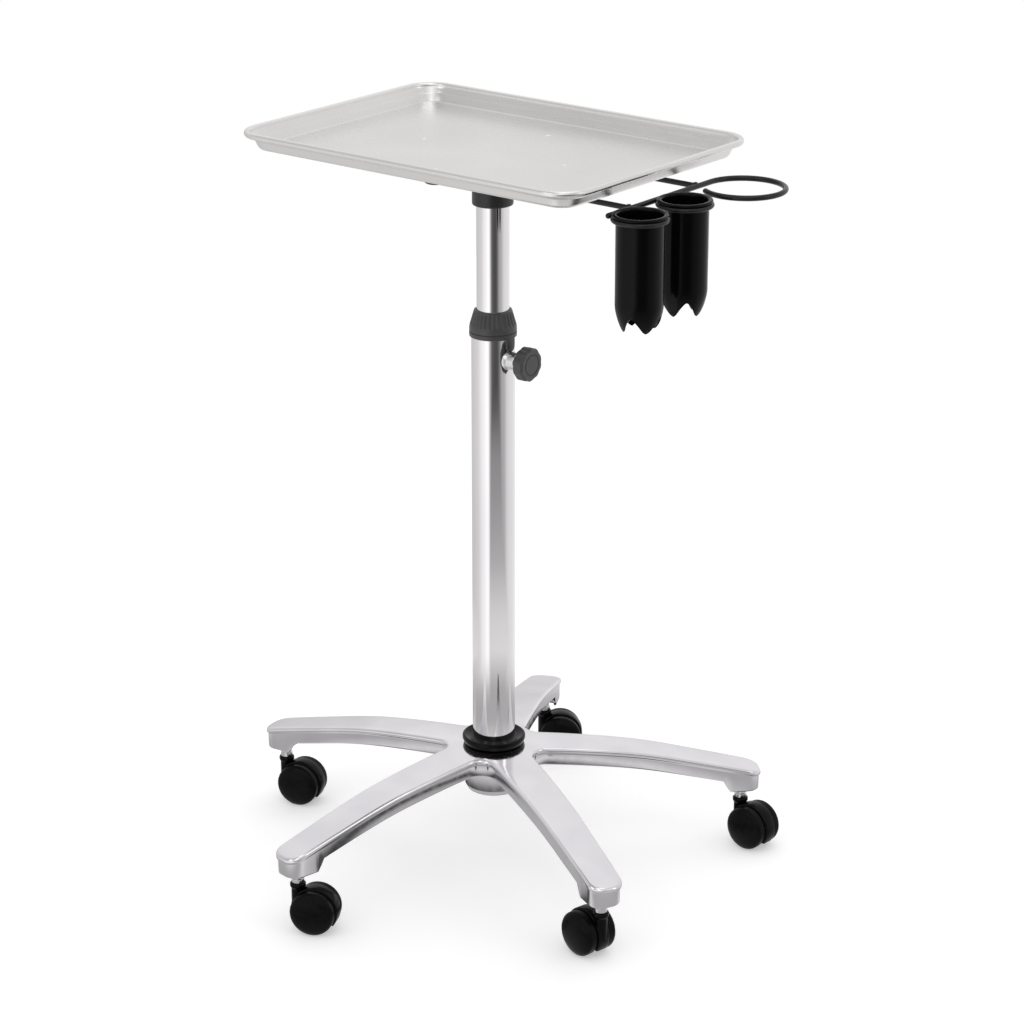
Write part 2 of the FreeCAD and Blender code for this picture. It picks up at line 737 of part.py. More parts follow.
def tray_bracket():
    """Cross-shaped moulding with a socket for the upper tube."""
    arm = bracket_arm()
    socket = softened_foot(pole(SOCKET_R, SOCKET_FOOT_Z, BRACKET_TOP_Z), SOCKET_ROUND)
    low = BRACKET_FOOT_Z - SOCKET_FLARE
    flare = turned([(0, low), (SOCKET_R, low), (SOCKET_R + SOCKET_FLARE, BRACKET_FOOT_Z + PAST),
                    (0, BRACKET_FOOT_Z + PAST)])
    body = joined([arm, spun(arm, 90), socket, flare])
    body = body.cut(pole(UPPER_R, SOCKET_FOOT_Z - PAST, UPPER_TOP_Z))
    for p in screw_places():
        body = body.cut(tray_screw(p))
    screw_top = BRACKET_FOOT_Z + SADDLE_SCREW_GRIP
    for y in (-ROD_Y, ROD_Y):
        body = body.cut(rod_groove(y))
        for at in saddle_screw_places(y):
            body = body.cut(pole(SADDLE_SCREW_R, BRACKET_FOOT_Z - PAST, screw_top, 0, at))
    return body.cut(bar(SET_SCREW_R, -SOCKET_R - PAST, 0, set_screw_axis(), X))


def set_screw_axis():
    return vec(0, 0, SOCKET_FOOT_Z + SET_SCREW_RISE)


def socket_screw():
    """Set screw in the bracket's socket, its tip on the upper tube."""
    start = SET_SCREW_SINK - SOCKET_R
    body = bar(SET_SCREW_R, start, -UPPER_R, set_screw_axis(), X)
    return body.cut(hex_prism(SET_SCREW_KEY, SET_SCREW_KEY_DEPTH, set_screw_axis() + X * start, X))


# Tool holder


def cross_rod():
    """Rod across the end of the tray that turns into the open ring."""
    start = vec(CROSS_X, CUP_YS[0] - CROSS_OVERHANG, WIRE_Z)
    bend = vec(CROSS_X, HOOK_Y, WIRE_Z)
    centre = vec(HOOK_X, HOOK_Y, WIRE_Z)
    middle = centre + unit(math.radians(180 - HOOK_SWEEP / 2)) * HOOK_R
    last = centre + unit(math.radians(180 - HOOK_SWEEP)) * HOOK_R
    path = Part.Wire([Part.makeLine(start, bend), Part.Arc(bend, middle, last).toShape()])
    section = Part.Wire(Part.makeCircle(ROD_R, start, Y))
    body = path.makePipeShell([section], True, True)
    return joined([body, Part.makeSphere(ROD_R, start), Part.makeSphere(ROD_R, last)])


def holder_rod(y, hook):
    """Rod from under the bracket to the cross rod, welded there."""
    rod = bar(ROD_R, -ROD_TAIL, CROSS_X, vec(0, y, WIRE_Z), X)
    rod = softened(rod, ROD_TIP, edges_where(rod, lambda e: e.BoundBox.XMax < 0.1 - ROD_TAIL))
    bead_r = ROD_R + WELD_STEP
    bead = [(0, 0), (ROD_R, 0), (bead_r, WELD_LENGTH - 1.0), (bead_r, WELD_LENGTH), (0, WELD_LENGTH)]
    weld = turned(bead, vec(CROSS_X - ROD_R / 2 - WELD_LENGTH, y, WIRE_Z), X)
    return rod.fuse(weld).cut(hook).removeSplitter()


def ring_section():
    """Section of the ring wire, with a flat on top for the cup's flange."""
    step = math.pi / RING_FACETS
    reach = RING_WIRE_R / math.cos(step)
    angles = [2 * step * (k + 0.5) for k in range(RING_FACETS)]
    return [(RING_R + reach * math.cos(a), reach * math.sin(a)) for a in angles]


def cup_ring(y, hook):
    """Wire ring that a cup hangs in, welded to the cross rod."""
    ring = turned(ring_section(), vec(RING_X, y, WIRE_Z))
    touch = vec(RING_X - RING_R - RING_WIRE_R, y, WIRE_Z)
    half = 2.4 * WELD_R
    upper = bar(WELD_R, -half, half, touch + Z * WELD_RISE, Y)
    lower = bar(WELD_R, -half, half, touch - Z * WELD_FALL, Y)
    inside = pole(RING_R - RING_WIRE_R, WIRE_Z - 2 * ROD_R, WIRE_Z + 2 * ROD_R, RING_X, y)
    return ring.multiFuse([upper, lower]).cut(hook).cut(inside).removeSplitter()


def rod_clamp(y):
    """Saddle under the bracket that holds one rod."""
    foot = BRACKET_FOOT_Z - SADDLE_THICK
    corner = vec(-SADDLE_LENGTH / 2, y - SADDLE_WIDTH / 2, foot)
    body = Part.makeBox(SADDLE_LENGTH, SADDLE_WIDTH, SADDLE_THICK, corner)
    uprights = edges_where(body, lambda e: e.BoundBox.ZLength > SADDLE_THICK / 2)
    body = softened_foot(softened(body, SADDLE_ROUND, uprights), SADDLE_EDGE)
    body = body.cut(bar(ROD_R, -SADDLE_LENGTH, SADDLE_LENGTH, vec(0, y, WIRE_Z), X))
    for at in saddle_screw_places(y):
        body = body.cut(pole(SADDLE_SCREW_R, foot - PAST, BRACKET_FOOT_Z + PAST, 0, at))
    return body


def saddle_screw_head(seat):
    """Domed head with a hexagon socket, hanging below its seat."""
    r = SADDLE_HEAD_R
    h = SADDLE_HEAD_H
    profile = [(0, 0), (r, 0), (0.95 * r, 0.37 * h), (0.7 * r, 0.74 * h), (0.35 * r, 0.95 * h), (0, h)]
    return turned(profile, seat, Z * -1).cut(hex_prism(SADDLE_KEY, h, seat - Z * h / 2, Z * -1))


def rod_clamp_screws(y):
    screws = []
    foot = BRACKET_FOOT_Z - SADDLE_THICK
    for at in saddle_screw_places(y):
        shank = pole(SADDLE_SCREW_R, foot, BRACKET_FOOT_Z + SADDLE_SCREW_GRIP, 0, at)
        screws.append(joined([saddle_screw_head(vec(0, at, foot)), shank]))
    return Part.makeCompound(screws)


def cup_body(offset):
    """The cup's outline, drawn in by offset: straight wall and drawn-in foot."""
    r = CUP_R - offset
    bend = NOTCH_APEX_Z + TAPER_RISE
    drop = bend - CUP_TIP_Z
    top = CUP_MOUTH_Z + CUP_FLANGE_H
    points = [(0, top), (r, top), (r, bend)]
    for t in (0.4, 0.7, 1.0):
        points.append((r - (CUP_R - CUP_TIP_R) * t ** TAPER_POWER, bend - drop * t))
    return turned(points + [(0, CUP_TIP_Z)])


def cup_flange():
    r = CUP_R + CUP_FLANGE
    top = CUP_MOUTH_Z + CUP_FLANGE_H
    profile = [(0, CUP_MOUTH_Z), (r - CUP_EDGE, CUP_MOUTH_Z), (r, CUP_MOUTH_Z + CUP_EDGE)]
    return turned(profile + [(r, top - CUP_EDGE), (r - CUP_EDGE, top), (0, top)])


def notch():
    """Rounded V cut through one side of the cup's foot, opening downward."""
    r = NOTCH_ROUND
    lean = math.atan2(NOTCH_HALF, NOTCH_HEIGHT + NOTCH_RUNOUT)
    side = vec(0, r * math.cos(lean), NOTCH_APEX_Z - r + r * math.sin(lean))
    foot = vec(0, NOTCH_HALF, CUP_TIP_Z - NOTCH_RUNOUT)
    far_side = mirror_y(side)
    far_foot = mirror_y(foot)
    edges = [Part.Arc(side, vec(0, 0, NOTCH_APEX_Z), far_side).toShape()]
    edges += [Part.makeLine(far_side, far_foot), Part.makeLine(far_foot, foot), Part.makeLine(foot, side)]
    return closed_face(edges).extrude(X * (CUP_R + PAST))


def cup(y, degrees):
    """Cup with a flange at its mouth and pointed petals at its foot."""
    body = joined([cup_body(0.0), cup_flange()]).cut(cup_body(CUP_WALL))
    body = body.cut([spun(notch(), 360.0 * k / PETALS) for k in range(PETALS)])
    return moved(spun(body, degrees), vec(RING_X, y))


# Casters, each built with its stem on the origin and its axle behind it along +X


def axle_middle():
    return vec(TRAIL, 0, WHEEL_R)


def caster_stem():
    """Plated stem: a pin in the hood, a flange over the neck and a shank in the arm's post."""
    foot = NECK_TOP_Z - STEM_DEPTH
    seat = NECK_TOP_Z + FLANGE_LIFT
    top = BLOCK_FOOT_Z + STEM_GRIP
    shank = STEM_R + SHANK_STEP
    profile = [(0, foot), (STEM_R, foot), (STEM_R, seat), (STEM_R + FLANGE_STEP, seat)]
    profile += [(STEM_R + FLANGE_STEP, seat + FLANGE_THICK), (shank, seat + FLANGE_THICK + 1.0)]
    profile += [(shank, BLOCK_FOOT_Z), (STEM_R, BLOCK_FOOT_Z), (STEM_R, top - STEM_TIP)]
    return turned(profile + [(STEM_R - STEM_TIP, top), (0, top)])


def hood_plate():
    """Web between the wheels, round over them and open below."""
    axle = axle_middle()
    disc = bar(HOOD_R, -HOOD_HALF, HOOD_HALF, axle, Y)
    corner = vec(axle.x - HOOD_R, -HOOD_HALF, HOOD_CLEAR)
    return disc.common(Part.makeBox(2 * HOOD_R, 2 * HOOD_HALF, 2 * HOOD_R, corner))


def caster_hood():
    foot = NECK_TOP_Z - NECK_BAND
    neck = pole(HOOD_HALF, NECK_FOOT_Z, foot + PAST)
    band = [(0, foot), (HOOD_HALF, foot), (NECK_R, foot + 0.4 * NECK_BAND), (NECK_R, NECK_TOP_Z - NECK_EDGE)]
    collar = turned(band + [(NECK_R - NECK_EDGE, NECK_TOP_Z), (0, NECK_TOP_Z)])
    body = joined([hood_plate(), neck, collar])
    body = body.cut(pole(STEM_R + RUN, NECK_TOP_Z - STEM_DEPTH - 0.5, NECK_TOP_Z + PAST))
    return body.cut(bar(AXLE_R, -HOOD_HALF - PAST, HOOD_HALF + PAST, axle_middle(), Y))


def caster_axle():
    r = AXLE_R
    half = AXLE_HALF
    tip = AXLE_TIP
    profile = [(0, -half), (r - tip, -half), (r, tip - half), (r, half - tip), (r - tip, half), (0, half)]
    return turned(profile, axle_middle(), Y)


def wheel_profile():
    """Half section of a wheel: radius, and distance from the hood's middle."""
    tread = WHEEL_IN + WHEEL_TREAD
    rise = WHEEL_OUT - tread
    blind = AXLE_HALF + AXLE_TIP
    bore = AXLE_R + RUN
    r = WHEEL_R
    points = [(bore, WHEEL_IN), (r - WHEEL_EDGE, WHEEL_IN), (r, WHEEL_IN + WHEEL_EDGE), (r, tread)]
    for k in range(1, DOME_STEPS):
        angle = math.pi / 2 * k / DOME_STEPS
        points.append((r * math.cos(angle), tread + rise * math.sin(angle)))
    return points + [(0, WHEEL_OUT), (0, blind), (bore, blind)]


def caster_wheel(side):
    return turned(wheel_profile(), axle_middle(), Y * side)


def save_casters():
    pieces = {"caster_stem": caster_stem(), "caster_hood": caster_hood(), "caster_axle": caster_axle()}
    pieces["wheel_left"] = caster_wheel(1)
    pieces["wheel_right"] = caster_wheel(-1)
    for index, place in enumerate(stem_places()):
        for name, shape in pieces.items():
            save(name + "_" + str(index + 1), moved(spun(shape, TRAIL_DEGS[index]), place))


def save_base():
    save("star_base", star_base())
    save("base_ring", base_ring())
    save("column_foot", column_foot())
    save("foot_bolt", foot_bolt())
    save("outer_tube", outer_tube())
    save("guide_bush", guide_bush())
    save("clamp_collar", clamp_collar())
    save("clamp_boss", clamp_boss())


def save_column():
    save("glide_bush", glide_bush())
    save("upper_tube", upper_tube())
    save("clamp_pad", clamp_pad())
    save("clamp_screw", clamp_screw())
    save("clamp_knob", clamp_knob())
    save("tray_bracket", tray_bracket())
    save("socket_screw", socket_screw())
    save("tray", tray())
    save("tray_screws", tray_screws())


def save_holder():
    hook = cross_rod()
    save("holder_hook", hook)
    for name, y in (("front", -ROD_Y), ("rear", ROD_Y)):
        save("holder_rod_" + name, holder_rod(y, hook))
        save("rod_clamp_" + name, rod_clamp(y))
        save("rod_clamp_screws_" + name, rod_clamp_screws(y))
    for name, y, degrees in (("front", CUP_YS[0], CUP_TURNS[0]), ("rear", CUP_YS[1], CUP_TURNS[1])):
        save("cup_ring_" + name, cup_ring(y, hook))
        save("cup_" + name, cup(y, degrees))


save_base()
save_column()
save_holder()
save_casters()
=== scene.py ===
# %% [markdown]
# # A rolling tray cart in Blender
#
# This file dresses a rolling tray cart: a shallow metal tray on a telescoping bright
# column, over a polished star base on five twin-wheel casters, with a wire tool holder.
# The CAD model comes in first and stays where it is. It gives every size and every moving
# body. Each cell below then adds one piece or one finish and says why it is made that way.

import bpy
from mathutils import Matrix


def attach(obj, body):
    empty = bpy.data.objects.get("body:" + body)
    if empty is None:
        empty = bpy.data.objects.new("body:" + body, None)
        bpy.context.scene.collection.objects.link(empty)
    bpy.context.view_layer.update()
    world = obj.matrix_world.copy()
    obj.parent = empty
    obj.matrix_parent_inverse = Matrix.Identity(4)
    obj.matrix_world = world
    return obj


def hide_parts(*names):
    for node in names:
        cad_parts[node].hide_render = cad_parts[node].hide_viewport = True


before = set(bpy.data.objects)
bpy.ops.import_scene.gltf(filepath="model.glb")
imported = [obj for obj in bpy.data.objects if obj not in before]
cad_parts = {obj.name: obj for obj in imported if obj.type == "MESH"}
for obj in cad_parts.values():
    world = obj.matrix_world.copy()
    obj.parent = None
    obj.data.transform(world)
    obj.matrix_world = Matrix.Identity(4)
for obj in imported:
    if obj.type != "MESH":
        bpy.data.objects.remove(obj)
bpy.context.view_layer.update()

# %% Bring in Blender's tools
from math import atan2, cos, pi, radians, sin, sqrt, tan

import bmesh
import bpy
from mathutils import Matrix, Vector
from mathutils.geometry import delaunay_2d_cdt

MM = 0.001
FULL = 2 * pi
QUARTER = [radians(15 * k) for k in range(7)]
scene = bpy.context.scene
print("sizes below are in millimetres, and a helper turns them into metres")

# %% [markdown]
# ## The camera
#
# A product photograph is usually taken from far away with a long lens, so that upright
# tubes stay upright and near and far parts keep their sizes. The camera here stands 3.5 m
# away, a little above the tray, and turned so that one corner of the tray comes forward.
# The lens angle is worked out from the size that the cart has in the picture.

# %% Place the camera
CAMERA_AZIMUTH = radians(38.34)
CAMERA_ELEVATION = radians(19.95)
CAMERA_DISTANCE = 3538.7
CAMERA_AIM = Vector((20.0, 8.0, 418.0))
CAMERA_LENS = 112.0

back = Vector((sin(CAMERA_AZIMUTH) * cos(CAMERA_ELEVATION),
               -cos(CAMERA_AZIMUTH) * cos(CAMERA_ELEVATION),
               sin(CAMERA_ELEVATION)))
camera_data = bpy.data.cameras.new("studio_camera")
camera_data.lens = CAMERA_LENS
camera_data.sensor_width = 36.0
camera_data.sensor_fit = "HORIZONTAL"
camera = bpy.data.objects.new("studio_camera", camera_data)
camera.location = (CAMERA_AIM + back * CAMERA_DISTANCE) * MM
camera.rotation_euler = (-back).to_track_quat("-Z", "Y").to_euler()
scene.collection.objects.link(camera)
scene.camera = camera
print("camera at", [round(v, 3) for v in camera.location])

# %% [markdown]
# ## Turning points into pieces
#
# Most parts of this cart are turned on a lathe, bent from wire or cast with a rounded
# outline. All three are rings of points joined one to the next, so one helper joins rings
# and another turns the result into a finished piece that moves with its CAD body. Edges
# sharper than an angle stay crisp, the others are smooth.

# %% Rings and pieces


def circle_ring(radius, height, steps, wave=None):
    """One ring of points round Z. wave(angle) adds to the radius."""
    ring = []
    for i in range(steps):
        a = FULL * i / steps
        r = radius + (wave(a) if wave else 0.0)
        ring.append(Vector((r * cos(a), r * sin(a), height)))
    return ring


def join_rings(rings, closed=False):
    """Points and faces of a skin over rings that all have the same number of points."""
    count = len(rings[0])
    points = [p for ring in rings for p in ring]
    faces = []
    last = len(rings) if closed else len(rings) - 1
    for k in range(last):
        a = k * count
        b = ((k + 1) % len(rings)) * count
        for i in range(count):
            j = (i + 1) % count
            faces.append((a + i, a + j, b + j, b + i))
    return points, faces


def capped(rings, both=True):
    """Skin over rings, with a flat face on the last ring and, if both, on the first one too."""
    points, faces = join_rings(rings)
    count = len(rings[0])
    if both:
        faces.append(tuple(reversed(range(count))))
    faces.append(tuple(range(len(points) - count, len(points))))
    return points, faces


def merge(parts):
    """Several (points, faces) pairs as one."""
    points, faces = [], []
    for more_points, more_faces in parts:
        base = len(points)
        points += more_points
        faces += [tuple(base + i for i in face) for face in more_faces]
    return points, faces


def place(part, matrix):
    points, faces = part
    return [matrix @ p for p in points], faces


def piece(name, part, finish, body, *nodes, crisp=38.0):
    """Makes an object from millimetre points, dresses it and lets it ride on its body."""
    points, faces = part
    mesh = bpy.data.meshes.new(name)
    mesh.from_pydata([tuple(p * MM) for p in points], [], faces)
    bm = bmesh.new()
    bm.from_mesh(mesh)
    bmesh.ops.remove_doubles(bm, verts=bm.verts, dist=0.000004)
    bmesh.ops.recalc_face_normals(bm, faces=bm.faces)
    bm.to_mesh(mesh)
    bm.free()
    mesh.shade_smooth()
    mesh.set_sharp_from_angle(angle=radians(crisp))
    obj = bpy.data.objects.new(name, mesh)
    scene.collection.objects.link(obj)
    material, slot_name = finish
    mesh.materials.append(material)
    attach(obj, body)
    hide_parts(*nodes)
    return obj


print("helpers ready: circle_ring, join_rings, capped, merge, place, piece")

# %% [markdown]
# ## Lathe work
#
# A tube, a knob or a wheel is a half outline spun round an axis. Real turned and moulded
# parts have no knife edges: each corner carries a small radius that catches the light.
# The helper takes corners as (radius, height, rounding) and lays a short arc in each one
# before spinning it, so that no corner is left bare.

# %% Round an outline and spin it
ARC_STEPS = 5


def rounded(corners):
    """Half outline with an arc of the third number's radius in each corner."""
    path = []
    for i, (r, h, bend) in enumerate(corners):
        here = Vector((r, h))
        if bend <= 0 or i in (0, len(corners) - 1):
            path.append(here)
            continue
        before = Vector(corners[i - 1][:2]) - here
        after = Vector(corners[i + 1][:2]) - here
        turn = before.angle(after)
        reach = bend / tan(turn / 2)
        reach = min(reach, before.length * 0.48, after.length * 0.48)
        start = here + before.normalized() * reach
        end = here + after.normalized() * reach
        for k in range(ARC_STEPS + 1):
            t = k / ARC_STEPS
            path.append((1 - t) ** 2 * start + 2 * t * (1 - t) * here + t ** 2 * end)
    return path


def lathe(corners, steps=96, wave=None):
    """Solid of revolution round Z from (radius, height, rounding) corners."""
    rings = []
    for p in rounded(corners):
        swing_out = wave(p.x, p.y) if wave else None
        rings.append(circle_ring(max(p.x, 0.0001), p.y, steps, swing_out))
    return join_rings(rings)


def along(axis, origin):
    """Matrix that lays a part built round +Z along another axis."""
    turn = Vector((0, 0, 1)).rotation_difference(Vector(axis)).to_matrix().to_4x4()
    return Matrix.Translation(Vector(origin)) @ turn


print("helpers ready: rounded, lathe, along")

# %% [markdown]
# ## Finishes: the noise that all of them share
#
# A surface of one even colour and gloss looks like a drawing. Real chrome has faint
# smears, castings have a soft waviness under their polish, and moulded plastic has a fine
# grain. Each finish starts from one shader with its plain numbers set on it, and then
# takes one or two layers of noise at the real scale.

# %% Small node helpers
NOISE_LOW = 0.3
NOISE_HIGH = 0.7


def node(tree, kind, inputs=(), **settings):
    """Adds a shader node. Each input takes a plain value or the output of another node."""
    made = tree.nodes.new(kind)
    for name, value in dict(inputs).items():
        if isinstance(value, bpy.types.NodeSocket):
            tree.links.new(value, made.inputs[name])
        else:
            made.inputs[name].default_value = value
    for name, value in settings.items():
        setattr(made, name, value)
    return made


def new_finish(name, colour, metallic, roughness, more=()):
    """A material with one Principled shader. Plain numbers sit on the shader itself."""
    material = bpy.data.materials.new(name)
    material.use_nodes = True
    sockets = material.node_tree.nodes["Principled BSDF"].inputs
    sockets["Base Color"].default_value = (*colour, 1.0)
    sockets["Metallic"].default_value = metallic
    sockets["Roughness"].default_value = roughness
    for name, value in dict(more).items():
        sockets[name].default_value = value
    return material


def object_noise(tree, scale, stretch, detail):
    """Noise laid in the object's own space, so that it stays on the piece when it moves."""
    where = node(tree, "ShaderNodeTexCoord").outputs["Object"]
    mapping = node(tree, "ShaderNodeMapping", {"Scale": stretch, "Vector": where})
    noise = node(tree, "ShaderNodeTexNoise",
                 {"Scale": scale, "Detail": detail, "Vector": mapping.outputs["Vector"]})
    return noise.outputs["Fac"]


def vary(tree, noise, socket, low, high):
    """Sends a noise to a shader socket, between two values."""
    span = node(tree, "ShaderNodeMapRange", {"From Min": NOISE_LOW, "From Max": NOISE_HIGH,
                                             "To Min": low, "To Max": high, "Value": noise})
    tree.links.new(span.outputs["Result"], socket)


def tint(tree, noise, socket, *colours):
    """Blends two close colours by a noise, and sends the result to a shader socket."""
    made = node(tree, "ShaderNodeValToRGB", {"Fac": noise})
    ends = zip(made.color_ramp.elements, (NOISE_LOW, NOISE_HIGH), colours)
    for element, position, colour in ends:
        element.position = position
        element.color = (*colour, 1.0)
    tree.links.new(made.outputs["Color"], socket)


def relief(tree, shader, noise, distance, strength):
    """Bump from a noise, chained after any bump that is there already."""
    bump = node(tree, "ShaderNodeBump",
                {"Distance": distance, "Strength": strength, "Height": noise})
    old = shader.inputs["Normal"].links
    if old:
        tree.links.new(old[0].from_socket, bump.inputs["Normal"])
    tree.links.new(bump.outputs["Normal"], shader.inputs["Normal"])


def layer(material, scale, stretch=(1, 1, 1), detail=4.0, rough=None, tones=None, bump=None):
    """One noise over a finish. It may vary the roughness, the colour and the relief."""
    tree = material.node_tree
    shader = tree.nodes["Principled BSDF"]
    noise = object_noise(tree, scale, stretch, detail)
    if rough:
        vary(tree, noise, shader.inputs["Roughness"], *rough)
    if tones:
        tint(tree, noise, shader.inputs["Base Color"], *tones)
    if bump:
        relief(tree, shader, noise, *bump)


print("helpers ready: node, new_finish, object_noise, vary, tint, relief, layer")

# %% [markdown]
# ## Bright metals
#
# The column is chromed tube, drawn and polished along its length, so its faint marks run
# up and down and the reflections stay sharp. The star base is cast aluminium, polished by
# hand: it mirrors too, but its surface swells a little, which bends what it reflects.
# The tray is satin sheet, rolled and brushed, and spreads its highlights wide.

# %% Chrome, polished casting and satin sheet
chrome = new_finish("bright_chrome", (0.86, 0.85, 0.86), 1.0, 0.06)
layer(chrome, 60.0, (6.0, 6.0, 0.12), rough=(0.035, 0.10), bump=(0.00002, 0.25))
layer(chrome, 9.0, (1, 1, 0.4), 2.0, tones=((0.82, 0.81, 0.825), (0.90, 0.89, 0.90)))

casting = new_finish("polished_casting", (0.785, 0.78, 0.80), 1.0, 0.12)
layer(casting, 22.0, detail=1.5, tones=((0.75, 0.745, 0.77), (0.82, 0.815, 0.835)),
      bump=(0.0009, 0.30))
layer(casting, 140.0, detail=5.0, rough=(0.07, 0.17), bump=(0.00004, 0.3))

sheet = new_finish("satin_sheet", (0.80, 0.795, 0.785), 1.0, 0.28, {"Anisotropic": 0.35})
layer(sheet, 110.0, (0.25, 7.0, 7.0), 6.0, rough=(0.25, 0.33), bump=(0.000005, 0.1))
layer(sheet, 5.0, detail=2.0, tones=((0.765, 0.76, 0.75), (0.845, 0.84, 0.83)))

plated = new_finish("plated_steel", (0.80, 0.80, 0.81), 1.0, 0.14)
layer(plated, 700.0, detail=3.0, rough=(0.10, 0.24), bump=(0.00003, 0.3))

CHROME = (chrome, "chrome_tube")
CASTING = (casting, "cast_aluminium")
SHEET = (sheet, "tray_sheet")
PLATED = (plated, "bright_steel")
ZINC = (plated, "screw_steel")
print("metals ready")

# %% [markdown]
# ## Black parts
#
# Four blacks meet on this cart. The knob, the collar and the bracket are moulded in a
# satin plastic with a fine spark-eroded grain. The bracket takes a darker copy of it, as
# painted shade for its place under the tray.
# The cups and the caster hoods are glossy, the wheels are duller and carry faint scuffs,
# and the wire has a smooth powder coat with a slight orange peel.

# %% Moulded, glossy, rolling and powder-coated black


def moulded_finish(name, grey):
    material = new_finish(name, (grey,) * 3, 0.0, 0.42)
    layer(material, 1300.0, detail=2.0, bump=(0.00005, 0.45))
    layer(material, 30.0, detail=2.0, rough=(0.33, 0.45),
          tones=((grey * 0.85,) * 3, (grey * 1.15,) * 3))
    return material


gloss = new_finish("gloss_black", (0.002,) * 3, 0.0, 0.14, {"Specular IOR Level": 0.12})
layer(gloss, 55.0, detail=1.5, rough=(0.13, 0.22), bump=(0.00012, 0.25))

rolling = new_finish("wheel_black", (0.003,) * 3, 0.0, 0.36, {"Specular IOR Level": 0.09})
layer(rolling, 160.0, detail=6.0, rough=(0.24, 0.42), tones=((0.002,) * 3, (0.004,) * 3),
      bump=(0.00005, 0.35))

powder = new_finish("powder_black", (0.010,) * 3, 0.0, 0.24, {"Specular IOR Level": 0.35})
layer(powder, 420.0, detail=2.0, rough=(0.20, 0.32), bump=(0.00008, 0.35))

MOULDED = (moulded_finish("moulded_black", 0.052), "black_moulding")
# The bracket's darker copy of the same moulding is painted shade for its place under the tray.
BRACKET_SHADED_MOULDED = (moulded_finish("bracket_black_painted_shade", 0.016), "black_moulding")
GLOSS = (gloss, "black_gloss")
ROLLING = (rolling, "wheel_black")
POWDER = (powder, "black_wire")
BUSH = (MOULDED[0], "bush_plastic")
print("blacks ready")

# %% [markdown]
# ## The star base
#
# The base is one casting. Seen from above it is a five-pointed star with soft crotches
# and blunt ends, and seen from the side its arms fall in a gentle arch from the hub to
# the casters. Its top is a plate with a rolled edge, and a narrower skirt hangs under it,
# so a thin dark line runs along every arm. The outline can be shrunk evenly inward, and
# each ring of the surface is that outline at its own inset and height.

# %% The star's outline and arch
ARMS = 5
ARM_FIRST = radians(44.2)
STEM_RADIUS = 287.0
TIP_R = 309.0
ROOT_HALF = 25.5
END_HALF = 19.5
ROOT_R = 24.0
CORNER_R = 16.0
CROTCH_R = 17.0
HUB_R = 33.0
HUB_TOP = 138.0
HUB_FOOT = 82.0
ARCH = ((HUB_R, HUB_TOP), (102.0, 132.57), (171.0, 123.7), (240.0, 108.55), (311.0, 91.0))
BLOCK_FOOT = 68.0
BLOCK_LENGTH = 40.0
SIDE_STEPS = 56
TIP_STEPS = 8
CROTCH_STEPS = 14


def spot(angle, radius=1.0):
    return Vector((cos(angle), sin(angle))) * radius


def turned(p, a):
    """A flat point, turned about the origin."""
    return Vector((p.x * cos(a) - p.y * sin(a), p.x * sin(a) + p.y * cos(a)))


def arch(r):
    """Height of the arms' top at a distance from the column, smooth between ARCH's points."""
    if r <= ARCH[0][0]:
        return ARCH[0][1]
    for k in range(len(ARCH) - 1):
        r0, z0 = ARCH[k]
        r1, z1 = ARCH[k + 1]
        if r <= r1 or k == len(ARCH) - 2:
            before = ARCH[k - 1] if k else (2 * r0 - r1, z0 + 1.2)
            after = ARCH[k + 2] if k + 2 < len(ARCH) else (2 * r1 - r0, 2 * z1 - z0 - 3.0)
            m0 = (z1 - before[1]) / (r1 - before[0]) * (r1 - r0)
            m1 = (after[1] - z0) / (after[0] - r0) * (r1 - r0)
            t = (r - r0) / (r1 - r0)
            a = (2 * t ** 3 - 3 * t ** 2 + 1) * z0 + (t ** 3 - 2 * t ** 2 + t) * m0
            return a + (-2 * t ** 3 + 3 * t ** 2) * z1 + (t ** 3 - t ** 2) * m1


def spread(a, b, steps):
    return [a + (b - a) * (k / steps) for k in range(steps)]


def swing(centre, start, end, steps):
    """Points of the short arc about centre from start to end, without the last one."""
    a = atan2(start.y - centre.y, start.x - centre.x)
    b = atan2(end.y - centre.y, end.x - centre.x)
    turn = (b - a + pi) % FULL - pi
    radius = (start - centre).length
    return [centre + spot(a + turn * k / steps, radius) for k in range(steps)]


def star_outline(inset):
    """Closed outline of the star, shrunk inward by inset. It always has as many points."""
    slope = atan2(END_HALF - ROOT_HALF, TIP_R - ROOT_R)
    start = ROOT_HALF - ROOT_R * tan(slope) - inset / cos(slope)
    corner = max(CORNER_R - inset, 1.5)
    cx = TIP_R - inset - corner
    tip = Vector((cx, start + cx * tan(slope) - corner / cos(slope)))
    side = tip + Vector((-sin(slope), cos(slope))) * corner
    end = tip + Vector((corner, 0))
    half = pi / ARMS
    bend = CROTCH_R + inset
    pit = spot(half, (bend + start * cos(slope)) / sin(half - slope))
    touch = pit + Vector((sin(slope), -cos(slope))) * bend
    flip = lambda p: Vector((p.x, -p.y))
    arm = spread(flip(touch), flip(side), SIDE_STEPS)
    arm += swing(flip(tip), flip(side), flip(end), TIP_STEPS)
    arm += spread(flip(end), end, TIP_STEPS) + swing(tip, end, side, TIP_STEPS)
    arm += spread(side, touch, SIDE_STEPS)
    arm += swing(pit, touch, turned(flip(touch), 2 * half), CROTCH_STEPS)
    return [turned(p, ARM_FIRST + k * 2 * half) for k in range(ARMS) for p in arm]


def star_ring(inset, height):
    return [Vector((p.x, p.y, height(p.length))) for p in star_outline(inset)]


print("outline points:", len(star_outline(0.0)))

# %% [markdown]
# The inside of the top has no rings, because the star's outline closes up on itself if it
# is shrunk too far. A triangulation fills it: a grid of points a few millimetres apart is
# joined to the inner ring, and each point is lifted onto the arch. The same fill, turned
# over, makes the ceiling of the hollow under the arms.

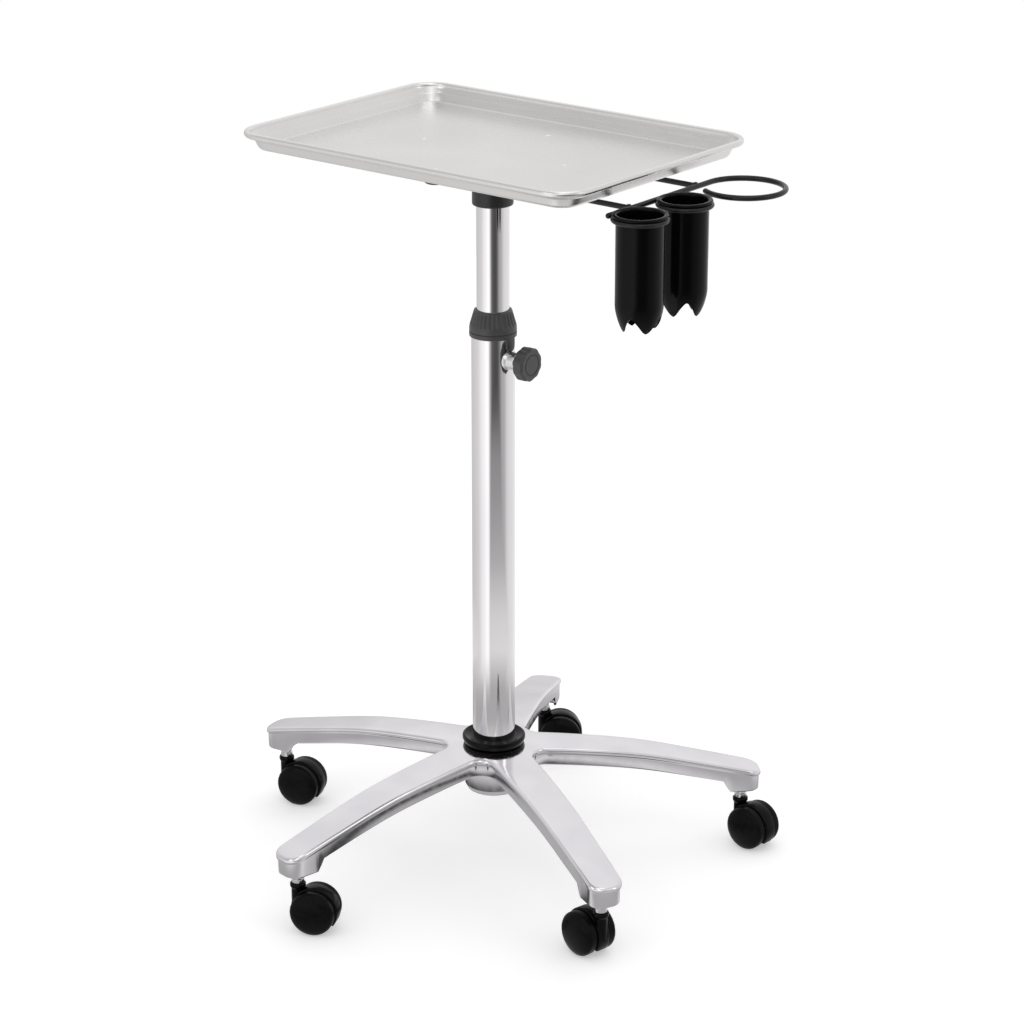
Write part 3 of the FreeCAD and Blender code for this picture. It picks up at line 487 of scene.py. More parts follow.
# %% Fill the star and build the casting
GRID = 5.0
SKIRT_DEPTH = 21.0
PLATE = 6.5
LIP_LIFT = 0.9
HOLE_R = 24.0
HOLE_STEPS = 96
ROLL_INSET = 3.6
ROLL_DROP = 3.2
LIP_INSET = 5.6


def inside(point, outline):
    """True where a point lies in a closed outline."""
    hit = False
    for i in range(len(outline)):
        a, b = outline[i - 1], outline[i]
        if (a.y > point.y) != (b.y > point.y):
            if point.x < (b.x - a.x) * (point.y - a.y) / (b.y - a.y) + a.x:
                hit = not hit
    return hit


def star_fill(inset, height, hole=0.0):
    """Triangles over the star at an inset, lifted to height(radius), round an optional hole."""
    outline = star_outline(inset)
    guard = star_outline(inset + GRID * 0.45)
    free = []
    for k in range(ARMS):
        axis = spot(ARM_FIRST + k * FULL / ARMS)
        across = Vector((-axis.y, axis.x))
        for i in range(int(TIP_R / GRID)):
            for j in range(-9, 10):
                p = axis * (hole + 2 + i * GRID) + across * (j * GRID)
                half_width = abs(p.dot(axis)) * tan(pi / ARMS) - 0.3
                if abs(j * GRID) < half_width and inside(p, guard):
                    free.append(p)
    loops = [list(range(len(outline)))]
    points = outline + free
    if hole:
        loops.append(list(range(len(points), len(points) + HOLE_STEPS)))
        points = points + [spot(FULL * i / HOLE_STEPS, hole) for i in range(HOLE_STEPS)]
    edges = [(loop[i - 1], loop[i]) for loop in loops for i in range(len(loop))]
    flat, _, faces, *_ = delaunay_2d_cdt(points, edges, [], 1, 0.0001)
    centres = [sum((flat[i] for i in face), Vector((0, 0))) / len(face) for face in faces]
    keep = [tuple(face) for face, at in zip(faces, centres) if at.length > hole * 0.999]
    return [Vector((p.x, p.y, height(p.length))) for p in flat], keep


def skirt_foot(r):
    """Lower edge of the skirt: it follows the arch and drops round the post at each tip."""
    t = min(max((r - TIP_R + BLOCK_LENGTH + 5.0) / 9.0, 0.0), 1.0)
    t = t * t * (3 - 2 * t)
    return (arch(r) - SKIRT_DEPTH) * (1 - t) + BLOCK_FOOT * t


def ceiling(r):
    """Underside of the plate, which comes down to the post's foot at each tip."""
    t = min(max((r - TIP_R + BLOCK_LENGTH) / 4.0, 0.0), 1.0)
    return (arch(r) - PLATE) * (1 - t) + (BLOCK_FOOT + 0.2) * t


def hollow(r):
    """Ceiling of the hollow, kept above the skirt's foot close to the caster post."""
    near_post = r > TIP_R - BLOCK_LENGTH - 6.0
    return max(ceiling(r), skirt_foot(r) + LIP_LIFT if near_post else 0.0)


def star_rings():
    """The skin from the top's inner edge over the rolled edge and down the skirt."""
    drops = [(ROLL_INSET * (1 - sin(t)), ROLL_DROP * (1 - cos(t))) for t in QUARTER]
    drops += [(0.0, 5.2), (0.15, 5.7), (0.6, 6.1), (1.5, 6.3), (1.9, 6.9), (1.9, 8.0)]
    rings = [star_ring(inset, lambda r, d=drop: arch(r) - d) for inset, drop in drops]
    lifts = ((2.1, 1.6), (2.3, 0.6), (2.8, 0.12), (3.4, 0.0), (5.0, 0.2), (5.3, LIP_LIFT))
    rings += [star_ring(inset, lambda r, s=lift: skirt_foot(r) + s) for inset, lift in lifts]
    rings.append(star_ring(LIP_INSET, lambda r: max(ceiling(r), skirt_foot(r) + LIP_LIFT)))
    return rings


def star_casting():
    skin = join_rings(star_rings())
    top = star_fill(ROLL_INSET, arch, HOLE_R)
    under = star_fill(LIP_INSET, hollow)
    hub = lathe([(HOLE_R, 96.0, 0), (HOLE_R, HUB_FOOT, 1.0), (HUB_R - 3, HUB_FOOT, 3.0),
                 (HUB_R, HUB_FOOT + 6, 3.0), (HUB_R, 128.0, 0)], 120)
    return merge([skin, top, under, hub])


star = piece("star_casting", star_casting(), CASTING, "base", "star_base", crisp=50.0)
print("star casting faces:", len(star.data.polygons))

# %% [markdown]
# ## The ring at the foot of the column
#
# A black moulded ring hides the joint where the column drops into the hub. It is a
# shallow dish: its rim stands proud like a lip and its top slopes down toward the tube.

# %% Base ring, washer and foot bolt
ring_corners = [(23.9, 145.0, 0), (27.0, 145.4, 1.0), (33.5, 148.0, 0.8), (35.6, 147.2, 1.2),
                (36.0, 144.0, 1.5), (34.2, 139.4, 2.0), (31.5, HUB_TOP, 0.8), (23.9, HUB_TOP, 0)]
piece("base_lip_ring", lathe(ring_corners, 128), GLOSS, "base", "base_ring", crisp=60.0)

washer = lathe([(0, 80.0, 0), (12.0, 80.0, 0.4), (12.0, 82.0, 0.2), (0, 82.0, 0)], 64)
hex_head = lathe([(0, 74.0, 0), (9.2, 74.0, 0.8), (9.2, 80.0, 0)], 6)
piece("foot_bolt_and_washer", merge([washer, hex_head]), ZINC, "base", "foot_bolt", crisp=30.0)
print("base ring and foot bolt made")

# %% [markdown]
# ## The column
#
# Two bright tubes slide one in the other. The lower one is 48 mm across and the upper one
# 36 mm. They are plain, so their whole look comes from a smooth round surface: 160 steps
# round the tube keep its reflections free of facets.

# %% Outer and upper tube
TUBE_STEPS = 160
outer_tube = lathe([(22.5, 120.0, 0), (22.5, 94.0, 0.3), (24.0, 94.0, 0.3), (24.0, 632.0, 0.4),
                    (22.5, 632.0, 0.4), (22.5, 618.0, 0)], TUBE_STEPS)
piece("outer_column_tube", outer_tube, CHROME, "base", "outer_tube")
upper_tube = lathe([(16.5, 300.0, 0), (16.5, 270.0, 0.3), (18.0, 270.0, 0.4), (18.0, 815.0, 0.4),
                    (16.5, 815.0, 0.3), (16.5, 790.0, 0)], TUBE_STEPS)
piece("upper_column_tube", upper_tube, CHROME, "upper", "upper_tube")
print("column tubes made")

# %% [markdown]
# ## The collar
#
# Where the upper tube comes out, a black moulded collar closes the outer tube. It has a
# plain band at its foot, a groove, and a tapered part with upright ribs for grip. The
# ribs are a wave in the radius of each ring, which fades out toward the top and bottom.

# %% Ribbed collar and its tongue
COLLAR_FOOT = 621.5
COLLAR_RIBS = 28
RIB_DEPTH = 1.1
RIBS_FROM = COLLAR_FOOT + 13.4
RIBS_TO = COLLAR_FOOT + 28.2


def rib_wave(radius, height):
    """Rounded grooves between upright ribs, fading out at both ends of the taper."""
    inward = min(height - RIBS_FROM + 0.6, RIBS_TO - height)
    depth = RIB_DEPTH * min(max(inward / 1.6, 0.0), 1.0)
    if depth <= 0 or radius < 20.5:
        return None
    return lambda a: -depth * (0.5 - 0.5 * cos(COLLAR_RIBS * a)) ** 1.6


def collar_corners():
    low = [(24.05, 0.0, 0.2), (26.2, 0.0, 0.8), (26.2, 5.0, 0.4), (25.2, 5.2, 0.2),
           (25.2, 6.0, 0.2), (26.2, 6.2, 0.4), (26.0, 10.5, 0.4), (25.6, 12.8, 0.5)]
    steps = (0.04, 0.08, 0.14, 0.22, 0.34, 0.5, 0.66, 0.8, 0.88, 0.94)
    ribs = [(25.6 - 4.6 * t, COLLAR_FOOT + 12.8 + 15.9 * t, 0) for t in steps]
    top = [(21.0, 28.7, 0.5), (20.2, 29.5, 0.4), (18.4, 29.5, 0.3), (18.4, 22.0, 0)]
    low, top = ([(r, COLLAR_FOOT + z, bend) for r, z, bend in part] for part in (low, top))
    return low + ribs + top


def curved_strip(r0, r1, half, z0, z1, steps=14):
    """A strip that hugs a tube, with its free end rounded."""
    rings = []
    for k in range(steps + 1):
        t = k / steps
        z = z0 + (z1 - z0) * t
        width = half * sqrt(max(1 - max(0.0, 1 - (z - z0) / half) ** 2, 0.004))
        ring = []
        for radius, signs in ((r1, range(-8, 9)), (r0, range(8, -9, -1))):
            for i in signs:
                y = width * i / 8
                ring.append(Vector((sqrt(radius ** 2 - y ** 2), y, z)))
        rings.append(ring)
    return capped(rings)


tongue = curved_strip(24.0, 25.8, 6.5, 607.2, 624.0)
collar = merge([lathe(collar_corners(), 336, rib_wave), tongue])
piece("ribbed_collar", collar, MOULDED, "base", "clamp_collar", crisp=44.0)
print("collar made")

# %% [markdown]
# ## The clamp
#
# A nut is welded to the outer tube and a screw with a black fluted knob presses a pad
# against the upper tube. The knob's flutes are again a wave in the radius, and its flat
# face carries a fine turned groove.

# %% Boss, screw, pad and knob
CLAMP = Vector((0.0, 0.0, 597.0))
KNOB_LOBES = 10
LOBE_DEPTH = 0.8
LOBES_FROM = 14.5
to_knob = lambda x: along((1, 0, 0), CLAMP + Vector((x, 0, 0)))

boss = lathe([(4.1, 13.0, 0), (4.1, 36.0, 0.3), (8.6, 36.0, 0.9), (10.0, 34.4, 0.9),
              (10.0, 25.6, 0.8), (11.6, 23.0, 0.8), (11.6, 20.0, 0)], 72)
piece("welded_clamp_boss", place(boss, to_knob(0.0)), PLATED, "base", "clamp_boss")

PITCH = 0.7
thread = [(0, 26.1, 0), (3.4, 26.1, 0.2)]
for k in range(18):
    thread += [(3.95, 26.6 + PITCH * k, 0), (3.55, 26.95 + PITCH * k, 0)]
thread += [(3.9, 40.0, 0), (0, 40.0, 0)]
thread = place(lathe(thread, 40), to_knob(0.0))
piece("clamp_screw_thread", thread, PLATED, "knob", "clamp_screw", crisp=25.0)

pad = lathe([(0, 18.4, 0), (5.5, 18.4, 0.5), (5.5, 26.0, 0.3), (0, 26.0, 0)], 48)
piece("clamp_pad_plug", place(pad, to_knob(0.0)), BUSH, "pad", "clamp_pad")


def lobe_wave(radius, height):
    """Ten shallow scallops round the knob, deepest at its rim."""
    if radius < LOBES_FROM:
        return None
    fade = min((radius - LOBES_FROM) / 3.0, 1.0)
    return lambda a: -LOBE_DEPTH * (0.5 - 0.5 * cos(KNOB_LOBES * a)) ** 1.2 * fade


knob_corners = [(0, 0, 0), (9.5, 0, 0.8), (10.6, 2.2, 0.8), (16.8, 2.4, 1.2), (19.0, 4.4, 1.4),
                (19.0, 13.6, 1.0), (17.4, 15.6, 1.2), (16.0, 16.0, 0.4), (12.3, 16.0, 0.25),
                (11.7, 15.2, 0.25), (11.0, 15.2, 0.25), (10.4, 16.0, 0.25), (0, 15.7, 0)]
knob = place(lathe(knob_corners, 320, lobe_wave), to_knob(38.0))
piece("fluted_knob", knob, MOULDED, "knob", "clamp_knob", crisp=50.0)
print("clamp made")

# %% [markdown]
# ## The tray
#
# The tray is pressed from one sheet: a flat floor, a small bend, flared walls, and a rim
# rolled outward into a bead. Every level is the same rounded rectangle at another size,
# so the whole tray is one skin over rings, inside and outside.

# %% Rounded rectangles and the tray's skin
TRAY_HALF = Vector((228.5, 165.0))
TRAY_CORNER = 36.0
TRAY_TOP = 846.0
FLOOR_TOP = 826.0
FLOOR_FOOT = 825.0
FLOOR_INSET = 18.4
FOLD_R = 4.2
FOLD_ANGLE = 68.0
BEAD = 3.5
CORNER_STEPS = 12
EDGE_STEPS = 20


def tray_ring(inset, height):
    """Rounded rectangle, inset from the rim's outer edge, with evenly spread points."""
    radius = max(TRAY_CORNER - inset, 1.0)
    a, b = TRAY_HALF.x - inset - radius, TRAY_HALF.y - inset - radius
    corners = ((1, 1), (-1, 1), (-1, -1), (1, -1))
    ring = []
    for k, (sx, sy) in enumerate(corners):
        centre = Vector((sx * a, sy * b))
        start = pi / 2 * k
        for i in range(CORNER_STEPS + 1):
            p = centre + spot(start + pi / 2 * i / CORNER_STEPS, radius)
            ring.append(Vector((p.x, p.y, height)))
        nx, ny = corners[(k + 1) % 4]
        last = ring[-1]
        follow = Vector((nx * a, ny * b)) + spot(start + pi / 2, radius)
        for i in range(1, EDGE_STEPS):
            ring.append(last.lerp(Vector((follow.x, follow.y, height)), i / EDGE_STEPS))
    return ring


def bead_levels():
    """The rolled rim: a bead from the wall over the top that curls in underneath."""
    turns = [radians(190.0 - 300.0 * k / 18) for k in range(19)]
    return [(BEAD - BEAD * cos(t), TRAY_TOP - BEAD + BEAD * sin(t)) for t in turns]


def tray_skin():
    inner = [(inset, FLOOR_TOP) for inset in (100.0, 60.0, 30.0, FLOOR_INSET)]
    for k in range(1, 7):
        t = radians(FOLD_ANGLE * k / 6)
        inner.append((FLOOR_INSET - FOLD_R * sin(t), FLOOR_TOP + FOLD_R * (1 - cos(t))))
    inner += [(11.4, 835.0), (8.6, 839.6)]
    outer = [(8.8, 838.0), (12.4, 834.0), (15.6, 827.8), (16.4, 826.4), (17.6, 825.4)]
    outer += [(inset, FLOOR_FOOT) for inset in (19.4, 30.0, 60.0, 100.0)]
    return capped([tray_ring(inset, z) for inset, z in inner + bead_levels() + outer])


tray = piece("flared_tray", tray_skin(), SHEET, "upper", "tray", crisp=50.0)
print("tray faces:", len(tray.data.polygons))

# %% [markdown]
# Four screws hang from the tray and hold it to the bracket. They are welded on from below,
# so all that the floor shows of them is a faint round mark: a swell less than a millimetre
# high with a small pit in it. The clamps further down take button heads instead, where the
# rings go from round to six-sided at the key hole.

# %% Tray marks and button heads
HEAD_STEPS = 48
SCREW_CIRCLE = 96.0


def hexagon(across):
    """How far a hexagon's side lies from a circle of the same size, at an angle."""
    def wave(a):
        side = (a % (pi / 3)) - pi / 6
        return across / 2 / cos(side) - across / 2
    return wave


def button_head(radius, rise, key):
    """Low domed screw head with a six-sided hole for a key of that size."""
    edge = 0.35
    rings = [circle_ring(radius, 0.0, HEAD_STEPS), circle_ring(radius, edge, HEAD_STEPS)]
    for t in (radians(a) for a in (15, 30, 45, 58)):
        height = edge + (rise - edge) * sin(t)
        rings.append(circle_ring(radius * cos(t), height, HEAD_STEPS))
    for wider, depth in ((edge, 0.0), (0.0, 0.15), (0.0, 1.1)):
        rings.append(circle_ring(key / 2 + wider, rise - depth, HEAD_STEPS, hexagon(key)))
    return capped(rings, both=False)


def weld_mark(radius, rise):
    """Low round swell on the tray's floor, with a small pit in its middle."""
    levels = [(radius * cos(t), rise * sin(t)) for t in (0.0, 0.3, 0.6, 0.9, 1.1, 1.25)]
    levels += [(1.0, rise * 0.9), (0.8, rise * 0.3)]
    return capped([circle_ring(r, z, HEAD_STEPS) for r, z in levels], both=False)


places = [Matrix.Translation((*spot(pi / 2 * k, SCREW_CIRCLE), FLOOR_TOP)) for k in range(4)]
marks = merge([place(weld_mark(4.4, 0.7), at) for at in places])
piece("tray_weld_marks", marks, PLATED, "upper", "tray_screws", crisp=40.0)
print("tray marks:", len(places))

# %% [markdown]
# ## The cross bracket
#
# A moulded cross holds the tray on the upper tube. Its four arms have round ends and its
# hub runs down into a socket. The cross is an outline that can be shrunk inward, as for
# the star, and the socket is a lathe part that flares into it.

# %% Bracket and socket
BRACKET_REACH = 108.0
BRACKET_HALF = 12.5
BRACKET_CROTCH = 6.0


def cross_outline(inset):
    half = BRACKET_HALF - inset
    corner = BRACKET_HALF + BRACKET_CROTCH
    end = BRACKET_REACH - BRACKET_HALF
    pit, bend = Vector((corner, corner)), BRACKET_CROTCH + inset
    arm = [Vector((corner + (end - corner) * i / 12, -half)) for i in range(12)]
    arm += [Vector((end, 0)) + spot(pi * (i / 16 - 0.5), half) for i in range(17)]
    arm += [Vector((end - (end - corner) * i / 12, half)) for i in range(1, 12)]
    arm += [pit + spot(-pi / 2 - pi / 2 * i / 8, bend) for i in range(8)]
    return [turned(p, pi / 2 * k) for k in range(4) for p in arm]


def cross_plate():
    levels = [(6.0, FLOOR_FOOT), (0.5, FLOOR_FOOT), (0.1, 824.7), (0.0, 824.0), (0.0, 813.4)]
    for t in QUARTER[1:]:
        levels.append((3.2 * (1 - cos(t)), 813.2 - 3.2 * sin(t)))
    levels.append((6.0, 810.0))
    return capped([[Vector((p.x, p.y, z)) for p in cross_outline(inset)] for inset, z in levels])


socket = lathe([(18.02, 800.0, 0), (18.02, 768.0, 0.8), (22.5, 768.0, 3.6), (22.5, 800.0, 6.0),
                (31.0, 812.0, 3.0), (31.0, 813.0, 0)], 128)
grub = lathe([(3.4, 0.0, 0), (3.4, 0.6, 0.3), (2.4, 0.6, 0), (2.2, -2.2, 0), (0, -2.2, 0)], 32)
grub = place(grub, along((-1, 0, 0), (-22.4, 0, 786.0)))
bracket = merge([cross_plate(), socket])
piece("cross_bracket", bracket, BRACKET_SHADED_MOULDED, "upper", "tray_bracket", crisp=42.0)
piece("socket_grub_screw", grub, ZINC, "upper", "socket_screw")
print("bracket made")

# %% [markdown]
# ## Bent wire
#
# The tool holder is round wire, bent and spot-welded. A wire is a ring of points carried
# along a path in one plane. Its ends are domed, because cut ends get rounded before the
# powder coat, and each weld shows as a small collar of metal.

# %% Sweep a wire along a flat path


def dome(ring, middle, way, radius):
    """Rings that close a wire's end with half a ball."""
    rings = []
    for t in QUARTER[1:]:
        shrink = max(cos(t), 0.001)
        lift = way * (radius * sin(t))
        rings.append([middle + (q - middle) * shrink + lift for q in ring])
    return rings


def wire(path, radius, steps=20, closed=False):
    """Round wire along level points, with domed ends."""
    circle = [(radius * cos(FULL * k / steps), radius * sin(FULL * k / steps))
              for k in range(steps)]
    rings = []
    count = len(path)
    for i, p in enumerate(path):
        before = path[i - 1] if i or closed else p
        after = path[(i + 1) % count] if i < count - 1 or closed else p
        way = (after - before).normalized()
        side = Vector((-way.y, way.x, 0))
        rings.append([p + side * out + Vector((0, 0, up)) for out, up in circle])
    if closed:
        return join_rings(rings, True)
    first = dome(rings[0], path[0], (path[0] - path[1]).normalized(), radius)
    last = dome(rings[-1], path[-1], (path[-1] - path[-2]).normalized(), radius)
    return join_rings(first[::-1] + rings + last)


WIRE_Z = 811.5
CROSS_X = 226.7
HOOK = Vector((269.7, 82.0, WIRE_Z))
HOOK_R = 43.0
ROD_WIRE = 3.0
RING_WIRE = 2.5


def flat_arc(centre, radius, start, turn, steps):
    return [centre + Vector((*spot(start + turn * k / steps, radius), 0)) for k in range(steps + 1)]


hook_path = [Vector((CROSS_X, -97.0 + 179.0 * k / 16, WIRE_Z)) for k in range(16)]
hook_path += flat_arc(HOOK, HOOK_R, pi, radians(-305.0), 84)
hook = wire(hook_path, ROD_WIRE, 24)
piece("cross_rod_and_open_ring", hook, POWDER, "upper", "holder_hook", crisp=60.0)
print("hook path points:", len(hook_path))

# %% [markdown]
# The two rods run back under the tray, where a saddle clamp holds each of them in a
# groove of the bracket. Each cup ring is a closed circle of thinner wire, welded to the
# cross rod at its side.

# %% Rods, clamps and cup rings


def rod(y):
    path = [Vector((x, y, WIRE_Z)) for x in (-14.0, 60.0, 140.0, 200.0, 225.0)]
    straight = wire(path, ROD_WIRE, 24)
    weld = [(ROD_WIRE, 0, 0), (3.3, 0.8, 0.4), (4.1, 3.2, 1.0), (4.3, 4.4, 0.8), (2.0, 6.2, 0)]
    at_weld = along((1, 0, 0), (CROSS_X - 6.4, y, WIRE_Z))
    return merge([straight, place(lathe(weld, 32), at_weld)])


def soft_box(low, high, bevel):
    """Box with rounded edges."""
    bm = bmesh.new()
    bmesh.ops.create_cube(bm, size=1.0)
    size = Vector(high) - Vector(low)
    centre = (Vector(high) + Vector(low)) / 2
    grow = Matrix.Translation(centre) @ Matrix.Diagonal((*size, 1.0))
    bmesh.ops.transform(bm, matrix=grow, verts=bm.verts)
    bmesh.ops.bevel(bm, geom=bm.edges[:], offset=bevel, segments=3, affect="EDGES", profile=0.5)
    points = [v.co.copy() for v in bm.verts]
    faces = [tuple(v.index for v in f.verts) for f in bm.faces]
    bm.free()
    return points, faces


head = button_head(3.2, 1.8, 2.0)
for name, y in (("front", -58.5), ("rear", 58.5)):
    piece("tray_rod_" + name, rod(y), POWDER, "upper", "holder_rod_" + name, crisp=60.0)
    saddle = soft_box((-10, y - 12.5, 805.0), (10, y + 12.5, 809.95), 1.1)
    piece("saddle_clamp_" + name, saddle, POWDER, "upper", "rod_clamp_" + name)
    spots = [along((0, 0, -1), (0, y + step, 805.02)) for step in (-8.5, 8.5)]
    screws = merge([place(head, at) for at in spots])
    piece("saddle_screws_" + name, screws, ZINC, "upper", "rod_clamp_screws_" + name)

RING_X = 260.0
CUP_RING_R = 27.8
CUPS = (("front", -88.0, 15.3), ("rear", -11.0, -45.3))
for name, y, _ in CUPS:
    loop = flat_arc(Vector((RING_X, y, WIRE_Z)), CUP_RING_R, 0.0, FULL * 71 / 72, 71)
    bead_path = [Vector((RING_X - 30.3, y - 4.0 + 2 * k, WIRE_Z - 0.2)) for k in range(5)]
    ring = merge([wire(loop, RING_WIRE, 20, True), wire(bead_path, 1.9, 16)])
    piece("cup_wire_ring_" + name, ring, POWDER, "upper", "cup_ring_" + name, crisp=60.0)
print("tool holder made")

# %% [markdown]
# ## The cups
#
# Each cup is a glossy black sleeve with a rolled flange that rests on its ring. Its foot
# ends in four pointed petals that bend inward, so that a tool can't drop through. The
# wall is a grid: its columns go round the cup, and each column ends where the edge of the
# petals lies at that angle. A second grid a wall's thickness inside closes the shape.

# %% Petalled cups
CUP_MOUTH = 817.5
CUP_R = 25.0
CUP_WALL = 1.5
WALL_TOP = 813.0
LIP_FOOT = 815.2
PETAL_TIP = 696.0
PETAL_APEX = PETAL_TIP + 17.0
BEND = PETAL_APEX + 10.0
PETALS = 4
NOTCH_SOFT = 0.012
CUP_STEPS = 192
CUP_ROWS = 22


def petal_edge(a):
    """Height of the cup's lower edge at an angle: rounded notches between rounded points."""
    t = (a / (FULL / PETALS)) % 1.0
    t = min(t, 1.0 - t) * 2
    soft = (sqrt(t * t + NOTCH_SOFT) - sqrt(NOTCH_SOFT)) / 0.72
    fall = min(1.04 * soft / (1.0 + soft ** 6) ** (1 / 6), 1.0)
    return PETAL_APEX - (PETAL_APEX - PETAL_TIP) * fall


def cup_radius(z, offset):
    """Outer radius of the wall: straight, then drawn in along the petals."""
    t = max(0.0, (BEND - z) / (BEND - PETAL_TIP))
    return CUP_R - offset - 7.4 * t ** 1.7


def cup_wall(offset, start, order):
    """Rings of the wall from the height start down to the petals' edge, in the given order."""
    made = []
    for k in order:
        ring = []
        for a in (FULL * i / CUP_STEPS for i in range(CUP_STEPS)):
            z = start + (petal_edge(a) - start) * (k / CUP_ROWS)
            r = cup_radius(z, offset)
            ring.append(Vector((r * cos(a), r * sin(a), z)))
        made.append(ring)
    return made


def cup_skin():
    lip = [(25.1, 814.2), (26.6, 814.6), (27.6, 814.1), (28.4, 814.4), (29.0, 815.4), (29.0, 816.2),
           (28.5, 817.1), (27.6, CUP_MOUTH), (26.4, CUP_MOUTH),
           (25.0, 817.3), (24.0, 816.6), (23.5, LIP_FOOT)]
    lip = [circle_ring(r, z, CUP_STEPS) for r, z in lip]
    outer = cup_wall(0.0, WALL_TOP, range(CUP_ROWS, -1, -1))
    inner = cup_wall(CUP_WALL, LIP_FOOT, range(CUP_ROWS + 1))
    edge = [p.lerp(q, 0.5) + Vector((0, 0, -0.25)) for p, q in zip(inner[-1], outer[0])]
    return join_rings(outer + lip + inner[1:] + [edge], True)


for name, y, twist in CUPS:
    turn = Matrix.Translation((RING_X, y, 0)) @ Matrix.Rotation(radians(twist), 4, "Z")
    cup = place(cup_skin(), turn)
    piece("petalled_cup_" + name, cup, GLOSS, name + "_cup", "cup_" + name, crisp=50.0)
print("cups made")

# %% [markdown]
# ## The casters
#
# Each caster has a bright stem in the arm's post, a black hood that swivels round it, and
# two domed wheels that run on one axle beside the hood. All five are alike, so each shape
# is drawn once, with the stem upright on the origin and the axle behind it, and is then
# turned to the way each caster happens to trail.

# %% Stem, hood and wheel shapes
TRAIL = 20.0
WHEEL_R = 25.0
HOOD_R = 26.9
HOOD_FOOT = 9.1


def stem_shape():
    return lathe([(0, 40.0, 0), (5.5, 40.0, 0), (5.5, 55.2, 0), (7.0, 55.4, 0.5), (7.0, 59.6, 0.6),
                  (5.9, 60.6, 0.5), (5.9, 68.2, 0)], 56)


def hood_outline(inset, y):
    """The hood from the side: a disc about the axle, cut off flat at its foot."""
    r = HOOD_R - inset
    return [Vector((TRAIL + r * cos(a), y, max(WHEEL_R + r * sin(a), HOOD_FOOT + inset)))
            for a in (FULL * i / 120 for i in range(120))]


def hood_shape():
    """The flat body between the wheels, with the round neck that takes the stem."""
    half = [(2.0, 7.5), (0.9, 7.3), (0.25, 6.7), (0.0, 5.8)]
    levels = [(inset, -y) for inset, y in half] + [(0.0, 0.0)] + half[::-1]
    neck = lathe([(7.4, 22.0, 0), (7.4, 48.0, 1.5), (8.8, 50.8, 0.8), (8.8, 53.8, 0.8),
                  (7.9, 55.0, 0.5), (5.56, 55.0, 0.2), (5.56, 48.0, 0)], 64)
    return merge([capped([hood_outline(inset, y) for inset, y in levels]), neck])


def wheel_shape():
    """One wheel, with its hub side at 8 mm and its domed side outward."""
    corners = [(3.05, 8.0, 0), (9.0, 8.0, 0.5), (10.0, 8.6, 0.5), (22.6, 8.6, 0.5),
               (23.4, 8.0, 0.4), (24.2, 8.0, 0.8), (WHEEL_R, 9.2, 0.8), (WHEEL_R, 15.5, 0.9)]
    for a in (radians(90 * k / 14) for k in range(1, 15)):
        corners.append((24.9 * cos(a), 15.5 + 8.4 * sin(a), 0))
    return lathe(corners, 112)


print("caster shapes ready")

# %% Five casters in place
TRAILS = (-5.0, 38.0, 17.0, 23.0, 168.0)
for k in range(ARMS):
    stem_at = spot(ARM_FIRST + k * FULL / ARMS, STEM_RADIUS)
    heading = Matrix.Rotation(radians(TRAILS[k]), 4, "Z")
    here = Matrix.Translation((stem_at.x, stem_at.y, 0)) @ heading
    tag = "_" + str(k + 1)
    piece("stem" + tag, place(stem_shape(), here), PLATED, "base", "caster_stem" + tag)
    hood = place(hood_shape(), here)
    piece("hood" + tag, hood, GLOSS, "hood" + tag, "caster_hood" + tag, crisp=46.0)
    for side, sign in (("left", 1), ("right", -1)):
        wheel = place(wheel_shape(), here @ along((0, sign, 0), (TRAIL, 0, WHEEL_R)))
        piece("wheel_" + side + "_disc" + tag, wheel, ROLLING, side + tag,
              "wheel_" + side + tag, crisp=30.0)
print("casters:", ARMS)

# %% [markdown]
# ## Inner parts that stay as CAD
#
# The foot plug, the two bushes and the axles sit inside other parts. Their CAD solids are
# right as they are, so each one only takes a finish.

# %% Dress the hidden nodes


def dress(part, finish):
    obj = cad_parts[part]
    obj.data.materials.clear()
    obj.data.materials.append(finish[0])


for part in ("guide_bush", "glide_bush"):
    dress(part, BUSH)
for part in ["column_foot"] + ["caster_axle_" + str(k + 1) for k in range(ARMS)]:
    dress(part, ZINC)
print("hidden nodes dressed")

# %% [markdown]
# ## What the bright metal mirrors
#
# Bright metal shows its surroundings more than itself. A round tube squeezes the whole
# horizon into its width, so the stripes on the column are a map of the studio: white
# card to the left of the camera, a dark gap behind it, pale walls round the rest. The sky
# is that map, a ring of greys by compass angle, and higher up a calmer second ring, which
# the tray and the tops of the arms mirror. Only the camera sees plain white behind the
# cart.

# %% Rings of grey by compass angle
HORIZON = ((-180, 0.60), (-158, 0.655), (-140, 0.68), (-125, 0.80), (-112, 0.92), (-99, 0.98),
           (-87, 1.10), (-76, 1.05), (-68, 0.46), (-58, 0.12), (-44, 0.075), (-29, 0.072),
           (-19, 0.17), (-6, 0.40), (8, 0.44), (22, 0.64), (37, 0.74), (77, 0.80), (100, 0.88),
           (118, 0.72), (145, 0.60), (180, 0.60))
OVERHEAD = ((-180, 0.72), (-150, 0.57), (-128, 0.49), (-88, 0.56), (-66, 0.90), (-52, 1.40),
            (-38, 0.90), (-15, 0.66), (0, 0.68), (52, 0.72), (100, 0.86), (140, 0.86), (180, 0.72))
BRIGHTEST = 1.40
STUDIO_STRENGTH = 1.08 * BRIGHTEST


def compass(tree, vector):
    """Compass angle of a direction round Z, as a fraction of a full turn, and its height."""
    split = node(tree, "ShaderNodeSeparateXYZ", {"Vector": vector}).outputs
    turn = node(tree, "ShaderNodeMath", {0: split["Y"], 1: split["X"]}, operation="ARCTAN2")
    fraction = node(tree, "ShaderNodeMapRange", {"From Min": -pi, "From Max": pi,
                                                 "Value": turn.outputs["Value"]})
    return fraction.outputs["Result"], split["Z"]


